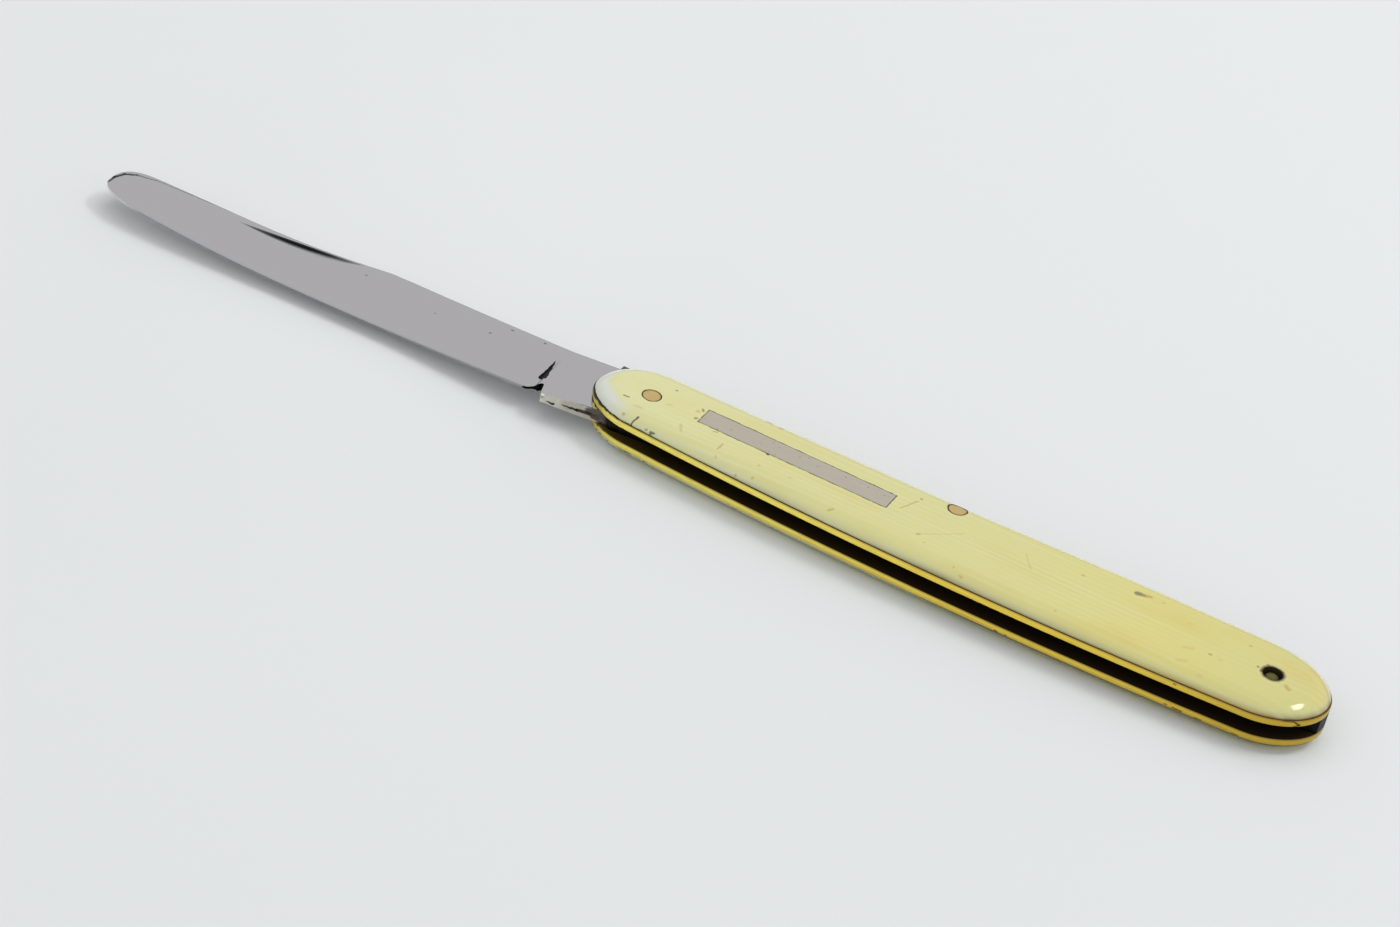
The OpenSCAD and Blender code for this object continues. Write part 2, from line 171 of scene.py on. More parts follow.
# %% Spread the cloth, in millimetres
TABLE_HALF = 1200
FOLD_HEIGHT = 1.35
FOLD_START, FOLD_FULL, FOLD_FALLS, FOLD_END = -46, -72, -80, -114
FOLD_NEAR, FOLD_FAR = 14, 70
CLOTH_STEP = 3
FINE_ALONG, FINE_ACROSS = range(-132, -38, CLOTH_STEP), range(-72, 73, CLOTH_STEP)


def smooth(value, start, end):
    share = min(max((value - start) / (end - start), 0.0), 1.0)
    return share * share * (3 - 2 * share)


def fold(x, y):
    along = smooth(x, FOLD_START, FOLD_FULL) * smooth(x, FOLD_END, FOLD_FALLS)
    return FOLD_HEIGHT * along * smooth(abs(y), FOLD_FAR, FOLD_NEAR)


columns = [-TABLE_HALF, *FINE_ALONG, TABLE_HALF]
rows = [-TABLE_HALF, *FINE_ACROSS, TABLE_HALF]
corners = [Vector((x, y, fold(x, y))) * MM for x in columns for y in rows]
patches = [(i * len(rows) + j, (i + 1) * len(rows) + j, (i + 1) * len(rows) + j + 1, i * len(rows) + j + 1)
           for i in range(len(columns) - 1) for j in range(len(rows) - 1)]
table_mesh = bpy.data.meshes.new("table")
table_mesh.from_pydata(corners, [], patches)
table_mesh.shade_smooth()
table = new_object("table", table_mesh)
white_cloth, _, put = new_material("matt_white_cloth")
weave = put("ShaderNodeBsdfDiffuse", {"Color": linear("#EFF1F1"), "Roughness": 0.4})
put("ShaderNodeOutputMaterial", {"Surface": weave})
table_mesh.materials.append(white_cloth)
print("the cloth has", len(patches), "patches and rises", FOLD_HEIGHT, "mm")

# %% Fill the air with light
BACKDROP = linear("#EBEDED")
# how much light comes from each side: light and not paint, so these are linear already
GLOW_FAR, GLOW_NEAR = (0.42, 0.42, 0.43, 1), (0.58, 0.59, 0.60, 1)
WALL_FAR, WALL_NEAR = (0.62, 0.62, 0.63, 1), (0.52, 0.53, 0.55, 1)
STRIP = (0.012, 0.014, 0.013, 1)
STRIP_TOP, STRIP_FADE = (math.sin(math.radians(a)) for a in (6, 9.5))
STRIP_SIDE, STRIP_EDGE = 0.55, 0.8
TURN, FAR_TURN, HIGH_TURN = 0.3, 0.6, 0.6
LOW_GLOW_NEAR, LOW_GLOW_FAR, HIGH_GLOW = 1.2, 3.2, 0.85
world = bpy.data.worlds.new("studio")
scene.world = world
world.use_nodes = True
world.node_tree.nodes.clear()
put = functools.partial(add, world.node_tree)
direction = put(SPLIT, [put("ShaderNodeTexCoord").outputs["Generated"]])
towards_back, height = direction.outputs["Y"], direction.outputs["Z"]
low = put(RANGE, {"Value": height, "From Min": STRIP_FADE, "From Max": STRIP_TOP}, **SMOOTH)
far = put(RANGE, {"Value": towards_back, "From Min": STRIP_SIDE, "From Max": STRIP_EDGE}, **SMOOTH)
in_strip = put("MULTIPLY", [low, far])
behind = put(RANGE, {"Value": towards_back, "From Min": -TURN, "From Max": TURN}, **SMOOTH)
walls = put(MIX, {0: behind, 6: WALL_NEAR, 7: WALL_FAR}, data_type="RGBA")
room = put(MIX, {0: in_strip, 6: walls.outputs[2], 7: STRIP}, data_type="RGBA")
glow = put(MIX, {0: behind, 6: GLOW_NEAR, 7: GLOW_FAR}, data_type="RGBA")
low_glow = put(RANGE, {"Value": towards_back, "From Min": -TURN, "From Max": FAR_TURN,
                       "To Min": LOW_GLOW_NEAR, "To Max": LOW_GLOW_FAR})
by_height = put(RANGE, {"Value": height, "From Max": HIGH_TURN, "To Min": low_glow, "To Max": HIGH_GLOW})
glow = put(VECTOR, {"Vector": glow.outputs[2], "Scale": by_height}, operation="SCALE")
path = put("ShaderNodeLightPath")
mirrored = put(MIX, {0: path.outputs["Is Glossy Ray"], 6: glow, 7: room.outputs[2]}, data_type="RGBA")
room_light = put("ShaderNodeBackground", {"Color": mirrored.outputs[2]})
pale_wall = put("ShaderNodeBackground", {"Color": BACKDROP})
air = put("ShaderNodeMixShader", [path.outputs["Is Camera Ray"], room_light, pale_wall])
put("ShaderNodeOutputWorld", {"Surface": air})
print("the low strip is dark up to", round(math.degrees(math.asin(STRIP_TOP)), 1), "degrees")

# %% Hang the lamps
LAMP_AWAY = 0.9
# for each: its direction, its size along and across in metres, its watts, and whether reflections show it
LAMPS = {"window": (Vector((0.44, 0.25, 0.86)), 0.36, 0.16, 1.5, True),
         "skylight": (Vector((0.05, 0.36, 0.93)), 0.9, 0.9, 2.1, False),
         "ceiling": (Vector((-0.1, -0.2, 0.97)), 1.4, 1.4, 1.4, False)}
for name, (towards, along, across, power, reflected) in LAMPS.items():
    light = bpy.data.lights.new(name, "AREA")
    light.shape = "ELLIPSE"
    light.size = along
    light.size_y = across
    light.energy = power
    lamp = new_object(name, light)
    lamp.location = towards.normalized() * LAMP_AWAY
    lamp.rotation_mode = "QUATERNION"
    lamp.rotation_quaternion = towards.to_track_quat("Z", "Y")
    lamp.visible_glossy = reflected
    print(name, "covers", round(math.degrees(2 * math.atan(along / 2 / LAMP_AWAY))), "degrees of the sky")

# %% [markdown]
# ## Places on the handle
#
# The finish needs to know where things are: the level of each layer, and the axes of the three pins. All of
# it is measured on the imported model, so that nothing here can drift away from the pieces that it dresses.

# %% Measure the layers and the pins
pivot = Vector(frame["joints"][0]["pos_m"])
liner_lo, liner_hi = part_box("front_liner")
scale_lo, scale_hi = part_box("front_scale")
back_liner_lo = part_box("back_liner")[0]
shield_lo, shield_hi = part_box("shield")
TOP = scale_hi.z


def pin_place(node):
    lo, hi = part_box(node)
    return Vector(((lo.x + hi.x) / 2, (lo.y + hi.y) / 2, 0)), (hi.x - lo.x) / 2


pins = {node: pin_place(node) for node in ("pivot_pin", "centre_pin", "end_pin")}
for node, (place, radius) in pins.items():
    print(node, "at", [round(c / MM, 2) for c in place], "radius", round(radius / MM, 2))

# %% [markdown]
# ## The plate that liners and scales are cut to
#
# Both liners and both scales follow one outline: two gently bowed edges, drawn together to rounded ends by
# quarter ellipses. A cutler files all four to it after pinning. The outline follows a rule, so Geometry
# Nodes can make it: a circle of points is moved to the rule, a section is swept along it, and the sweep's
# two rims are filled. The scale's section is one arc that runs into the flat top. The liner's is two
# quarter ellipses that meet half way up, because filing and pocket wear leave a brass edge slightly
# crowned, and a crowned edge is what mirrors the bright cloth all along the knife.

# %% The rule's sizes, from the pivot, in metres
FRONT_ROUND, BUTT_ROUND, BUTT_SLOPE = 6.4 * MM, 7.5 * MM, 8.6 * MM
SLOT_BOW, BELLY_X = 2.1 * MM, 46 * MM
BACK_EDGE, BACK_RISE, RISE_X, RISE_LEN = 6.1 * MM, 0.6 * MM, 32 * MM, 30 * MM
END_LEVEL = 0.3 * MM
SCALE_INSET, SHOULDER_W, SHOULDER_H = 0.2 * MM, 2.4 * MM, 1.1 * MM
SCALE_GAP, LINER_GAP, SHIELD_GAP = 0.08 * MM, 0.02 * MM, 0.04 * MM
FRONT_X, BUTT_X = liner_lo.x - pivot.x, liner_hi.x - pivot.x
SLOT_EDGE = pivot.y - liner_lo.y
print("handle from", round(FRONT_X / MM, 2), "to", round(BUTT_X / MM, 2), "slot edge",
      round(SLOT_EDGE / MM, 2))

# %% Build the tree
FLOAT, INT, BOOL = "NodeSocketFloat", "NodeSocketInt", "NodeSocketBool"
PLATE_INPUTS = [
    ("Points Around", INT, 480), ("Front End", FLOAT, FRONT_X), ("Butt End", FLOAT, BUTT_X),
    ("Slot Edge", FLOAT, SLOT_EDGE), ("Slot Bow", FLOAT, SLOT_BOW), ("Belly", FLOAT, BELLY_X),
    ("Back Edge", FLOAT, BACK_EDGE), ("Back Rise", FLOAT, BACK_RISE), ("Rise From", FLOAT, RISE_X),
    ("Rise Over", FLOAT, RISE_LEN), ("Front Round", FLOAT, FRONT_ROUND), ("Butt Round", FLOAT, BUTT_ROUND),
    ("Butt Slope", FLOAT, BUTT_SLOPE), ("End Level", FLOAT, END_LEVEL), ("Inset", FLOAT, 0.0),
    ("Shoulder Width", FLOAT, 0.05 * MM), ("Shoulder Height", FLOAT, 0.05 * MM), ("Shoulder Steps", INT, 3),
    ("Rim Break", FLOAT, 0.05 * MM), ("Rim Height", FLOAT, 0.05 * MM), ("Quarter Round", BOOL, False),
    ("Thickness", FLOAT, 0.8 * MM), ("Level", FLOAT, 0.0), ("Face Down", BOOL, False),
    ("Pin Gap", FLOAT, LINER_GAP), ("Let In Shield", BOOL, False),
    ("Pivot", "NodeSocketVector", tuple(pivot)), ("Material", "NodeSocketMaterial", None)]
plate_tree = bpy.data.node_groups.new("handle_plate", "GeometryNodeTree")
for name, kind, value in PLATE_INPUTS:
    socket = plate_tree.interface.new_socket(name, in_out="INPUT", socket_type=kind)
    if value is not None:
        socket.default_value = value
plate_tree.interface.new_socket("Geometry", in_out="OUTPUT", socket_type="NodeSocketGeometry")
put = functools.partial(add, plate_tree)
given = put("NodeGroupInput").outputs
print("the plate's tree takes", len(PLATE_INPUTS), "values")

# %% The outline: a circle of points moved to the rule
SWITCH = "GeometryNodeSwitch"
index = put("GeometryNodeInputIndex")
part = put("DIVIDE", [index, given["Points Around"]])
angle = put("MULTIPLY", [part, math.tau])
length = put("SUBTRACT", [given["Butt End"], given["Front End"]])
swing = put("MULTIPLY_ADD", [put("COSINE", [angle]), -0.5, 0.5])
x = put("MULTIPLY_ADD", [swing, length, given["Front End"]])
slot_side = put("LESS_THAN", [part, 0.5])

from_belly = put("SUBTRACT", [x, given["Belly"]])
bow_share = put("DIVIDE", [from_belly, given["Belly"]])
bow_square = put("MULTIPLY", [bow_share, bow_share])
bow = put("MULTIPLY", [bow_square, given["Slot Bow"]])
slot_y = put("SUBTRACT", [bow, given["Slot Edge"]])
rise_end = put("ADD", [given["Rise From"], given["Rise Over"]])
rise = put(RANGE, {"Value": x, "From Min": given["Rise From"], "From Max": rise_end,
                   "To Max": given["Back Rise"]}, **SMOOTH)
back_y = put("ADD", [rise, given["Back Edge"]])
side_y = put(SWITCH, [slot_side, back_y, slot_y], input_type="FLOAT")
butt_round = put(SWITCH, [slot_side, given["Butt Slope"], given["Butt Round"]], input_type="FLOAT")

front_join = put("ADD", [given["Front End"], given["Front Round"]])
to_front = put("SUBTRACT", [front_join, x])
front_share = put("DIVIDE", [to_front, given["Front Round"]])
butt_join = put("SUBTRACT", [given["Butt End"], butt_round])
to_butt = put("SUBTRACT", [x, butt_join])
butt_share = put("DIVIDE", [to_butt, butt_round])
nearest = put("MAXIMUM", [front_share, butt_share])
end_share = put("MAXIMUM", [nearest, 0.0], use_clamp=True)
end_square = put("MULTIPLY", [end_share, end_share])
left_over = put("SUBTRACT", [1.0, end_square], use_clamp=True)
draw_in = put("SQRT", [left_over])
over_end = put("SUBTRACT", [side_y, given["End Level"]])
y = put("MULTIPLY_ADD", [over_end, draw_in, given["End Level"]])

circle = put("GeometryNodeCurvePrimitiveCircle", {"Resolution": given["Points Around"]})
on_rule = put(JOIN, [x, y])
in_place = put(VECTOR, [on_rule, given["Pivot"]], operation="ADD")
flat_place = put(VECTOR, [in_place, (1, 1, 0)], operation="MULTIPLY")
moved = put("GeometryNodeSetPosition", {"Geometry": circle, "Position": flat_place})
outline = put("GeometryNodeSetCurveNormal", {"Curve": moved}, mode="Z_UP")
print(len(plate_tree.nodes), "nodes so far")

# %% The section: a small arc at the foot and a wide one at the shoulder
LIP = 0.12 * MM
steps = given["Shoulder Steps"]
half_count = put("ADD", [steps, 2.0])
point_count = put("MULTIPLY", [half_count, 2.0])
upper = put("GREATER_THAN", [put("ADD", [index, 0.5]), half_count])
above = put("SUBTRACT", [index, half_count])
below = put("SUBTRACT", [put("SUBTRACT", [half_count, 1.0]), index])
step = put(SWITCH, [upper, below, above], input_type="FLOAT")
wide = put(SWITCH, [upper, given["Rim Break"], given["Shoulder Width"]], input_type="FLOAT")
high = put(SWITCH, [upper, given["Rim Height"], given["Shoulder Height"]], input_type="FLOAT")
wide_square = put("MULTIPLY", [wide, wide])
squares = put("MULTIPLY_ADD", [high, high, wide_square])
double_high = put("MULTIPLY", [high, 2.0])
arc_radius = put("DIVIDE", [squares, double_high])
arc_sine = put("DIVIDE", [wide, arc_radius], use_clamp=True)
arc_turn = put("ARCSINE", [arc_sine])
arc_part = put("DIVIDE", [step, steps], use_clamp=True)
arc_left = put("SUBTRACT", [1.0, arc_part])
arc_angle = put("MULTIPLY", [arc_turn, arc_left])
arc_in = put("MULTIPLY", [put("SINE", [arc_angle]), arc_radius])
arc_cos = put("MULTIPLY", [put("COSINE", [arc_angle]), arc_radius])
arc_depth = put("SUBTRACT", [arc_radius, arc_cos])
round_angle = put("MULTIPLY", [arc_left, math.pi / 2])
round_in = put("MULTIPLY", [put("SINE", [round_angle]), wide])
round_up = put("MULTIPLY", [put("COSINE", [round_angle]), high])
round_depth = put("SUBTRACT", [high, round_up])
crowned = given["Quarter Round"]
reach_in = put(SWITCH, [crowned, arc_in, round_in], input_type="FLOAT")
depth = put(SWITCH, [crowned, arc_depth, round_depth], input_type="FLOAT")
on_lip = put("GREATER_THAN", [step, put("ADD", [steps, 0.5])])
lip = put("MULTIPLY_ADD", [on_lip, LIP, given["Inset"]])
inwards = put("ADD", [put("SUBTRACT", [wide, reach_in]), lip])
upper_z = put("SUBTRACT", [given["Thickness"], depth])
section_z = put(SWITCH, [upper, depth, upper_z], input_type="FLOAT")
section_x = put("MULTIPLY", [inwards, -1.0])
section_y = put("MULTIPLY", [section_z, -1.0])
line = put("GeometryNodeCurvePrimitiveLine")
points = put("GeometryNodeResampleCurve", {"Curve": line, "Count": point_count})
section_place = put(JOIN, [section_x, section_y])
section = put("GeometryNodeSetPosition", {"Geometry": points, "Position": section_place})
sweep = put("GeometryNodeCurveToMesh", {"Curve": outline, "Profile Curve": section})
skin = put("GeometryNodeFlipFaces", {"Mesh": sweep})
print(len(plate_tree.nodes), "nodes so far")

# %% Fill the two rims and close the plate
SAME_POINT = 0.001 * MM
caps = []
for width, level in ((given["Shoulder Width"], given["Thickness"]), (given["Rim Break"], 0.0)):
    rim_in = put("ADD", [put("ADD", [width, given["Inset"]]), LIP])
    normal = put("GeometryNodeInputNormal")
    rim_out = put("MULTIPLY", [rim_in, -1.0])
    shift = put(VECTOR, {"Vector": normal, "Scale": rim_out}, operation="SCALE")
    rim = put("GeometryNodeSetPosition", {"Geometry": outline, "Offset": shift})
    face = put("GeometryNodeFillCurve", {"Curve": rim}, mode="NGONS")
    lift = put(JOIN, [0.0, 0.0, level])
    caps.append(put("GeometryNodeTransform", {"Geometry": face, "Translation": lift}))
caps[1] = put("GeometryNodeFlipFaces", {"Mesh": caps[1]})
joined = put("GeometryNodeJoinGeometry")
for mesh_part in (skin, *caps):
    plate_tree.links.new(mesh_part.outputs[0], joined.inputs[0])
solid = put("GeometryNodeMergeByDistance", {"Geometry": joined, "Distance": SAME_POINT})
print(len(plate_tree.nodes), "nodes so far")

# %% Drill it for the pins, and let in the shield
DRILL_SIDES, DRILL_LENGTH = 72, 20 * MM
SHIELD_SIZE = Vector((23.4, 2.75, 0.6)) * MM
SHIELD_TURN = math.radians(-0.87)
shield_middle = (shield_lo + shield_hi) / 2
drills = put("GeometryNodeJoinGeometry")
for node, (place, radius) in pins.items():
    hole = put("ADD", [given["Pin Gap"], radius])
    drill = put("GeometryNodeMeshCylinder", {"Vertices": DRILL_SIDES, "Radius": hole, "Depth": DRILL_LENGTH})
    stood = put("GeometryNodeTransform", {"Geometry": drill, "Translation": place})
    plate_tree.links.new(stood.outputs[0], drills.inputs[0])
drilled = put("GeometryNodeMeshBoolean", {"Mesh 1": solid, "Mesh 2": drills}, operation="DIFFERENCE",
              solver="MANIFOLD")
recess_size = SHIELD_SIZE + Vector((2 * SHIELD_GAP, 2 * SHIELD_GAP, SHIELD_SIZE.z))
recess = put("GeometryNodeMeshCube", {"Size": recess_size})
recess_place = put(JOIN, [shield_middle.x, shield_middle.y, given["Thickness"]])
recess_at = put("GeometryNodeTransform", {"Geometry": recess, "Translation": recess_place,
                                          "Rotation": (0.0, 0.0, SHIELD_TURN)})
let_in = put("GeometryNodeMeshBoolean", {"Mesh 1": drilled, "Mesh 2": recess_at}, operation="DIFFERENCE",
             solver="MANIFOLD")
cut = put(SWITCH, [given["Let In Shield"], drilled, let_in], input_type="GEOMETRY")
print("the shield's recess is", [round(side / MM, 2) for side in recess_size], "mm")

# %% Smooth it, name its material and put it at its level
SHARP_FROM = math.radians(32)
all_smooth = put("GeometryNodeSetShadeSmooth", {"Geometry": cut})
edge_angle = put("GeometryNodeInputMeshEdgeAngle")
gentle = put("LESS_THAN", [edge_angle, SHARP_FROM])
shaded = put("GeometryNodeSetShadeSmooth", {"Geometry": all_smooth, "Shade Smooth": gentle}, domain="EDGE")
upright = put(SWITCH, [given["Face Down"], (1.0, 1.0, 1.0), (1.0, 1.0, -1.0)], input_type="VECTOR")
level = put(JOIN, [0.0, 0.0, given["Level"]])
placed = put("GeometryNodeTransform", {"Geometry": shaded, "Translation": level, "Scale": upright})
turned = put("GeometryNodeFlipFaces", {"Mesh": placed, "Selection": given["Face Down"]})
realized = put("GeometryNodeRealizeInstances", {"Geometry": turned})
finished = put("GeometryNodeSetMaterial", {"Geometry": realized, "Material": given["Material"]})
put("NodeGroupOutput", {"Geometry": finished})
print(len(plate_tree.nodes), "nodes in the plate's tree")


# %% Turn the tree's result into a plain mesh
def volume(mesh):
    form = bmesh.new()
    form.from_mesh(mesh)
    size = form.calc_volume(signed=True)
    form.free()
    return size


def make_plate(name, node, material, sizes):
    maker = new_object(name + "_maker", bpy.data.meshes.new(name + "_maker"))
    modifier = maker.modifiers.new("plate", "NODES")
    modifier.node_group = plate_tree
    values = dict(sizes, Material=material)
    for item in plate_tree.interface.items_tree:
        if item.in_out == "INPUT" and item.name in values:
            modifier[item.identifier] = values[item.name]
    ready = maker.evaluated_get(bpy.context.evaluated_depsgraph_get())
    mesh = bpy.data.meshes.new_from_object(ready)
    bpy.data.objects.remove(maker)
    mesh.name = name
    piece = new_object(name, mesh)
    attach(piece, "handle")
    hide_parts(node)
    print(name, "has", len(mesh.polygons), "faces and holds", round(volume(mesh) / MM ** 3, 1), "cubic mm")


# %% [markdown]
# ## Stains and scratches
#
# A polished knife shows its age in single marks: a scratch across the ivory, dirt packed round a pin. A few
# marks are painted light instead: a black reflection at the plunge, glints and shade on the tang. They could
# be painted on an image, but nodes can draw them too.
# Every mark here is a streak: a line from one point to another, thicker at one end, with a soft edge. The
# streak is built once, as a group of nodes, and each finish lays as many as it needs over its colour.

# %% Build the streak
streak = bpy.data.node_groups.new("streak", "ShaderNodeTree")
for name in ("Place", "Start", "End"):
    streak.interface.new_socket(name, in_out="INPUT", socket_type="NodeSocketVector")
for name in ("Start Radius", "End Radius", "Soft Edge", "Strength"):
    streak.interface.new_socket(name, in_out="INPUT", socket_type=FLOAT)
streak.interface.new_socket("Mask", in_out="OUTPUT", socket_type=FLOAT)
put = functools.partial(add, streak)
asked = put("NodeGroupInput").outputs
run = put(VECTOR, [asked["End"], asked["Start"]], operation="SUBTRACT")
away = put(VECTOR, [asked["Place"], asked["Start"]], operation="SUBTRACT")
forwards = put(VECTOR, [away, run], operation="DOT_PRODUCT")
run_square = put(VECTOR, [run, run], operation="DOT_PRODUCT")
share = put("DIVIDE", [forwards.outputs["Value"], run_square.outputs["Value"]], use_clamp=True)
nearest_point = put(VECTOR, {"Vector": run, "Scale": share}, operation="SCALE")
distance = put(VECTOR, [away, nearest_point], operation="DISTANCE")
growth = put("SUBTRACT", [asked["End Radius"], asked["Start Radius"]])
half_width = put("MULTIPLY_ADD", [growth, share, asked["Start Radius"]])
outside = put("SUBTRACT", [distance.outputs["Value"], half_width])
mask = put(RANGE, {"Value": outside, "From Min": asked["Soft Edge"], "From Max": 0.0,
                   "To Max": asked["Strength"]}, **SMOOTH)
put("NodeGroupOutput", [mask])
print("a streak takes", len(streak.nodes), "nodes")

# %% Lay coats and marks over a colour, and let a colour change along the knife
RAGGED_BY, RAGGED_GRAIN = 0.3 * MM, 0.6 * MM


def ragged_place(tree, here):
    """A place in plan, moved about a little so that no mark is drawn with a ruler, and the move itself."""
    lumps = add(tree, NOISE, {"Vector": here, "Scale": 1 / RAGGED_GRAIN, "Detail": 2.0})
    centred = add(tree, VECTOR, [lumps.outputs["Color"], (0.5, 0.5, 0.5)], operation="SUBTRACT")
    shift = add(tree, VECTOR, {"Vector": centred, "Scale": RAGGED_BY}, operation="SCALE")
    shifted = add(tree, VECTOR, [here, shift], operation="ADD")
    return add(tree, VECTOR, [shifted, (1, 1, 0)], operation="MULTIPLY"), shift


def lay_coats(tree, colour, coats):
    """Coats of colour over each other, each laid as far as its mask reaches."""
    for mask, tint in coats:
        tint = linear(tint) if isinstance(tint, str) else tint
        colour = add(tree, MIX, {0: mask, 6: colour, 7: tint}, data_type="RGBA").outputs[2]
    return colour


def lay_marks(tree, colour, place, marks):
    """Streaks over a colour, each as a coat of its own."""
    coats = []
    for stain, strength, start, end, start_r, end_r, soft in marks:
        on_mark = add(tree, "ShaderNodeGroup", {"Place": place, "Start": Vector((*start, 0)) * MM,
                                                "End": Vector((*end, 0)) * MM, "Start Radius": start_r * MM,
                                                "End Radius": end_r * MM, "Soft Edge": soft * MM,
                                                "Strength": strength}, node_tree=streak)
        coats.append((on_mark, stain))
    return lay_coats(tree, colour, coats)


def aged_along(tree, along, tones):
    """A ramp through tones at given places, in millimetres along the knife."""
    places = sorted(tones)
    share = add(tree, RANGE, {"Value": along, "From Min": places[0] * MM, "From Max": places[-1] * MM})
    ramp = add(tree, "ShaderNodeValToRGB", [share])
    stops = ramp.color_ramp.elements
    stops[0].color, stops[1].color = linear(tones[places[0]]), linear(tones[places[-1]])
    for place in places[1:-1]:
        stop = stops.new((place - places[0]) / (places[-1] - places[0]))
        stop.color = linear(tones[place])
    return ramp


# %% [markdown]
# ## Ivory-grained celluloid
#
# The scales are celluloid made to look like ivory: thin sheets of two creams pressed together and sliced,
# so that fine lines run lengthwise. It is polished to a soft gloss, a sharp reflection over a milky body,
# so the shader is a dull plastic under a clear coat. Years in pockets have left it paler and cooler at the
# front, yellower towards the butt, and stained brown where dirt has crept in round the metal. The shoulders
# are white at the front end and greyish where they thin out, paler on the far side with a painted sheen,
# and darker at the foot and under the back scale with painted shade.

# %% The marks on the front scale, in millimetres
DIRT, RUST, OCHRE, HONEY, MOSS = "#241C10", "#7A5A20", "#B8923C", "#D2B75E", "#6A6440"
# each mark: colour, strength, start and end, the radius at the start and at the end, and the soft edge
FRONT_MARKS = [
    (RUST, 0.75, (-40.2, -1.5), (-39.6, -1.5), 0.04, 0.09, 0.14),
    (MOSS, 0.85, (-36.0, 3.3), (-35.9, 3.3), 0.04, 0.04, 0.12),
    (DIRT, 0.85, (-37.6, -4.5), (-37.2, -3.6), 0.03, 0.09, 0.1),
    (OCHRE, 0.6, (-38.9, -3.8), (-38.8, -3.8), 0.05, 0.05, 0.2),
    (DIRT, 0.75, (-35.1, -4.5), (-34.6, -4.5), 0.08, 0.03, 0.12),
    (RUST, 0.6, (-35.7, -4.4), (-35.6, -4.4), 0.04, 0.04, 0.12),
    (HONEY, 0.5, (-32.6, -2.2), (-32.1, -3.2), 0.06, 0.02, 0.22),
    (HONEY, 0.35, (-38.3, -2.4), (-37.4, -2.3), 0.05, 0.03, 0.25),
    (HONEY, 0.35, (-35.6, 0.2), (-35.2, 0.4), 0.06, 0.04, 0.3),
    (OCHRE, 0.3, (-27.1, -4.4), (-27.0, -4.4), 0.05, 0.04, 0.16),
    (OCHRE, 0.35, (-22.4, -3.2), (-22.3, -3.2), 0.05, 0.04, 0.16),
    (OCHRE, 0.5, (-22.2, -5.0), (-22.1, -5.0), 0.04, 0.05, 0.14),
    (HONEY, 0.45, (-18.8, -3.1), (-18.5, -2.7), 0.04, 0.03, 0.16),
    (OCHRE, 0.45, (-12.9, -5.0), (-12.5, -4.7), 0.03, 0.06, 0.16),
    (OCHRE, 0.6, (-27.3, -2.3), (-27.4, -3.4), 0.03, 0.03, 0.14),
    (RUST, 0.45, (-29.2, -0.9), (-28.8, -0.7), 0.02, 0.05, 0.14),
    (RUST, 0.75, (-32.0, 2.1), (-31.8, 1.8), 0.03, 0.06, 0.16),
    (RUST, 0.7, (-31.9, -0.1), (-31.8, 0.1), 0.05, 0.07, 0.16),
    (OCHRE, 0.5, (-32.3, 1.4), (-32.2, 1.4), 0.06, 0.05, 0.3),
    (MOSS, 0.75, (-25.4, 5.2), (-24.8, 5.3), 0.05, 0.1, 0.16),
    (MOSS, 0.55, (-23.7, 5.0), (-23.4, 5.1), 0.05, 0.05, 0.2),
    (DIRT, 0.9, (-22.6, -0.62), (-22.5, -0.62), 0.12, 0.12, 0.12),
    (OCHRE, 0.55, (-24.1, -5.3), (-24.0, -5.3), 0.05, 0.05, 0.15),
    (OCHRE, 0.6, (-6.6, 0.4), (-5.6, 2.8), 0.03, 0.03, 0.09),
    (RUST, 0.55, (-5.5, 3.5), (-5.3, 3.4), 0.05, 0.05, 0.14),
    (OCHRE, 0.75, (-3.2, -2.7), (-3.0, -2.6), 0.06, 0.04, 0.14),
    (HONEY, 0.6, (-3.0, -2.6), (1.1, 0.9), 0.02, 0.02, 0.08),
    (HONEY, 0.6, (7.9, 2.0), (9.4, -0.1), 0.02, 0.02, 0.1),
    (OCHRE, 0.4, (-2.0, -3.6), (-1.9, -3.6), 0.04, 0.04, 0.14),
    (OCHRE, 0.4, (2.3, -5.2), (2.4, -5.2), 0.05, 0.05, 0.14),
    (OCHRE, 0.4, (3.4, -5.8), (3.8, -5.9), 0.03, 0.03, 0.14),
    (OCHRE, 0.55, (14.4, 2.8), (14.6, 2.8), 0.07, 0.04, 0.16),
    (OCHRE, 0.35, (14.3, -5.0), (14.4, -5.0), 0.04, 0.04, 0.14),
    (MOSS, 0.8, (20.5, 3.8), (21.2, 4.0), 0.2, 0.12, 0.25),
    (OCHRE, 0.7, (21.3, 4.0), (22.0, 4.2), 0.1, 0.04, 0.3),
    (OCHRE, 0.5, (23.4, 4.2), (23.6, 4.2), 0.04, 0.04, 0.14),
    (OCHRE, 0.8, (30.9, -0.9), (31.0, -0.9), 0.07, 0.05, 0.2),
    (HONEY, 0.4, (28.2, -1.6), (29.0, -1.2), 0.06, 0.04, 0.4),
    (HONEY, 0.35, (28.4, -4.1), (29.2, -3.6), 0.06, 0.04, 0.35),
    (HONEY, 0.35, (32.1, -1.1), (32.3, -1.1), 0.08, 0.06, 0.35),
    (HONEY, 0.35, (31.1, -4.8), (31.4, -4.8), 0.05, 0.05, 0.3),
    (OCHRE, 0.45, (34.0, 3.5), (34.2, 3.5), 0.06, 0.04, 0.2),
    (HONEY, 0.3, (27.0, 2.6), (27.3, 2.7), 0.06, 0.06, 0.3),
    (RUST, 0.75, (35.9, 0.6), (36.0, 0.6), 0.07, 0.07, 0.16),
    (RUST, 0.65, (36.7, 1.6), (36.8, 1.6), 0.06, 0.06, 0.16),
    (OCHRE, 0.55, (39.6, -0.5), (40.0, -0.9), 0.05, 0.1, 0.35)]
print(len(FRONT_MARKS), "marks on the front scale")

